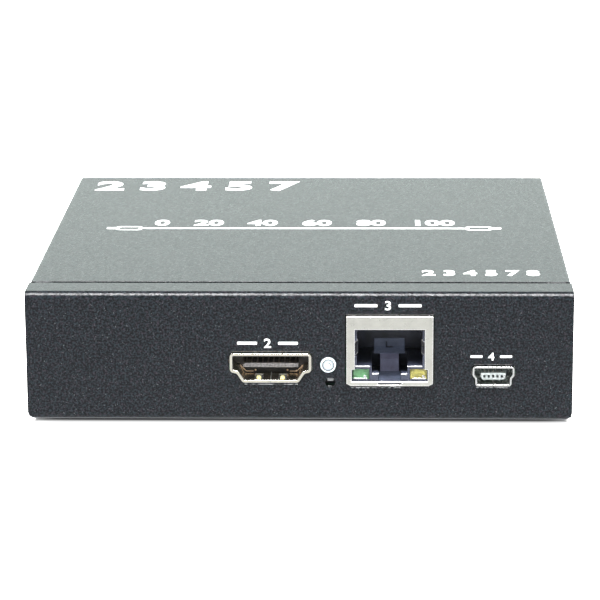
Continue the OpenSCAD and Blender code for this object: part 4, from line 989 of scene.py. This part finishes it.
def set_room(studio):
    """White to the camera. Mirrored, it is a pale backdrop round the horizon under a darker ceiling."""
    world = bpy.data.worlds.new("room")
    bpy.context.scene.world = world
    world.use_nodes = True
    world.node_tree.nodes.clear()
    room = Nodes(world.node_tree, "Generated")
    ray = room.node("ShaderNodeLightPath").outputs
    upwards = room.fit(room.axis("Z"), *CEILING_RISE, studio.horizon, studio.ceiling)
    backwards = room.fit(room.axis("Y"), *ROOM_TURN, studio.front_room, 1.0)
    level = room.combine("MULTIPLY", upwards, backwards)
    mirrored = room.shade("ShaderNodeBackground", Color=studio.backdrop, Strength=level)
    soft = room.shade("ShaderNodeBackground", Color=(0.97, 1.0, 1.0), Strength=studio.room)
    seen = room.shade("ShaderNodeBackground", Color=(1, 1, 1))
    lit = room.pick(ray["Is Glossy Ray"], soft, mirrored)
    room.feed(room.node("ShaderNodeOutputWorld"), Surface=room.pick(ray["Is Camera Ray"], lit, seen))


def lamp(name, power, place, target, size):
    data = bpy.data.lights.new(name, "AREA")
    data.shape = "RECTANGLE"
    data.size, data.size_y = size
    data.energy = power
    piece = bpy.data.objects.new(name, data)
    bpy.context.scene.collection.objects.link(piece)
    piece.location = place
    piece.rotation_euler = (Vector(place) - Vector(target)).to_track_quat("Z", "Y").to_euler()


def set_floor(studio):
    """Pale floor that keeps the box's shadow and is otherwise as white as the backdrop."""
    clear_selection()
    bpy.ops.mesh.primitive_grid_add(x_subdivisions=8, y_subdivisions=8, size=12, location=(0, 0, 0))
    floor = bpy.context.object
    floor.name = "floor"
    finish = Finish("pale_floor", Base_Color=(0.86, 0.86, 0.86), Roughness=0.9, Specular_IOR_Level=0.0)
    plain = finish.shader.outputs[0]
    ray = finish.node("ShaderNodeLightPath").outputs
    along = finish.axis("Y")
    aside = finish.combine("ABSOLUTE", finish.axis("X"))
    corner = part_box("base_tray")[1]
    front = finish.fit(along, *(FRONT_Y + end * MM for end in GLOW_UNDER), 1.0, 0.0)
    beside = finish.fit(aside, *(corner.x + end * MM for end in GLOW_ROUND))
    behind = finish.fit(along, *(corner.y + end * MM for end in GLOW_ROUND))
    glow = finish.combine("MAXIMUM", finish.combine("MAXIMUM", front, beside), behind)
    white = finish.shade("ShaderNodeEmission", Strength=glow)
    levels = (level * studio.floor_mirrored for level in MIRROR_LEVELS)
    near = finish.fit(along, *(FRONT_Y - end * MM for end in MIRROR_STRETCH), *levels)
    mirrored = finish.shade("ShaderNodeEmission", Color=(0.965, 1.0, 1.02), Strength=near)
    seen = finish.fill(finish.node("ShaderNodeAddShader"), plain, white).outputs[0]
    upper = finish.pick(ray["Is Glossy Ray"], finish.pick(ray["Is Camera Ray"], plain, seen), mirrored)
    # From below the floor is clear, so that the underside shows
    below = finish.node("ShaderNodeNewGeometry").outputs["Backfacing"]
    surface = finish.pick(below, upper, finish.shade("ShaderNodeBsdfTransparent"))
    finish.feed(finish.tree.nodes["Material Output"], Surface=surface)
    floor.data.materials.append(finish.material)


STEPS = [
    RECEIVER_OT_stage,
    RECEIVER_OT_case,
    RECEIVER_OT_front_sockets,
    RECEIVER_OT_controls,
    RECEIVER_OT_rear_sockets,
    RECEIVER_OT_board,
    RECEIVER_OT_front_prints,
    RECEIVER_OT_top_prints,
]


class RECEIVER_PT_panel(bpy.types.Panel):
    """Settings and steps in the sidebar"""

    bl_idname = "RECEIVER_PT_panel"
    bl_label = "Receiver"
    bl_space_type = "VIEW_3D"
    bl_region_type = "UI"
    bl_category = "Receiver"

    def draw(self, context):
        for group, kind in GROUPS.items():
            box = self.layout.box()
            for name in kind.__annotations__:
                box.prop(settings(group), name)
        for step in STEPS:
            self.layout.operator(step.bl_idname)


def register():
    for group, kind in GROUPS.items():
        bpy.utils.register_class(kind)
        setattr(bpy.types.Scene, "receiver_" + group, bpy.props.PointerProperty(type=kind))
    for kind in (*STEPS, RECEIVER_PT_panel):
        bpy.utils.register_class(kind)


def unregister():
    for kind in (RECEIVER_PT_panel, *reversed(STEPS)):
        bpy.utils.unregister_class(kind)
    for group, kind in GROUPS.items():
        delattr(bpy.types.Scene, "receiver_" + group)
        bpy.utils.unregister_class(kind)


def main():
    register()
    bpy.context.scene.view_settings.view_transform = "Standard"
    for step in STEPS:
        family, name = step.bl_idname.split(".")
        getattr(getattr(bpy.ops, family), name)()


if __name__ == "__main__":
    main()
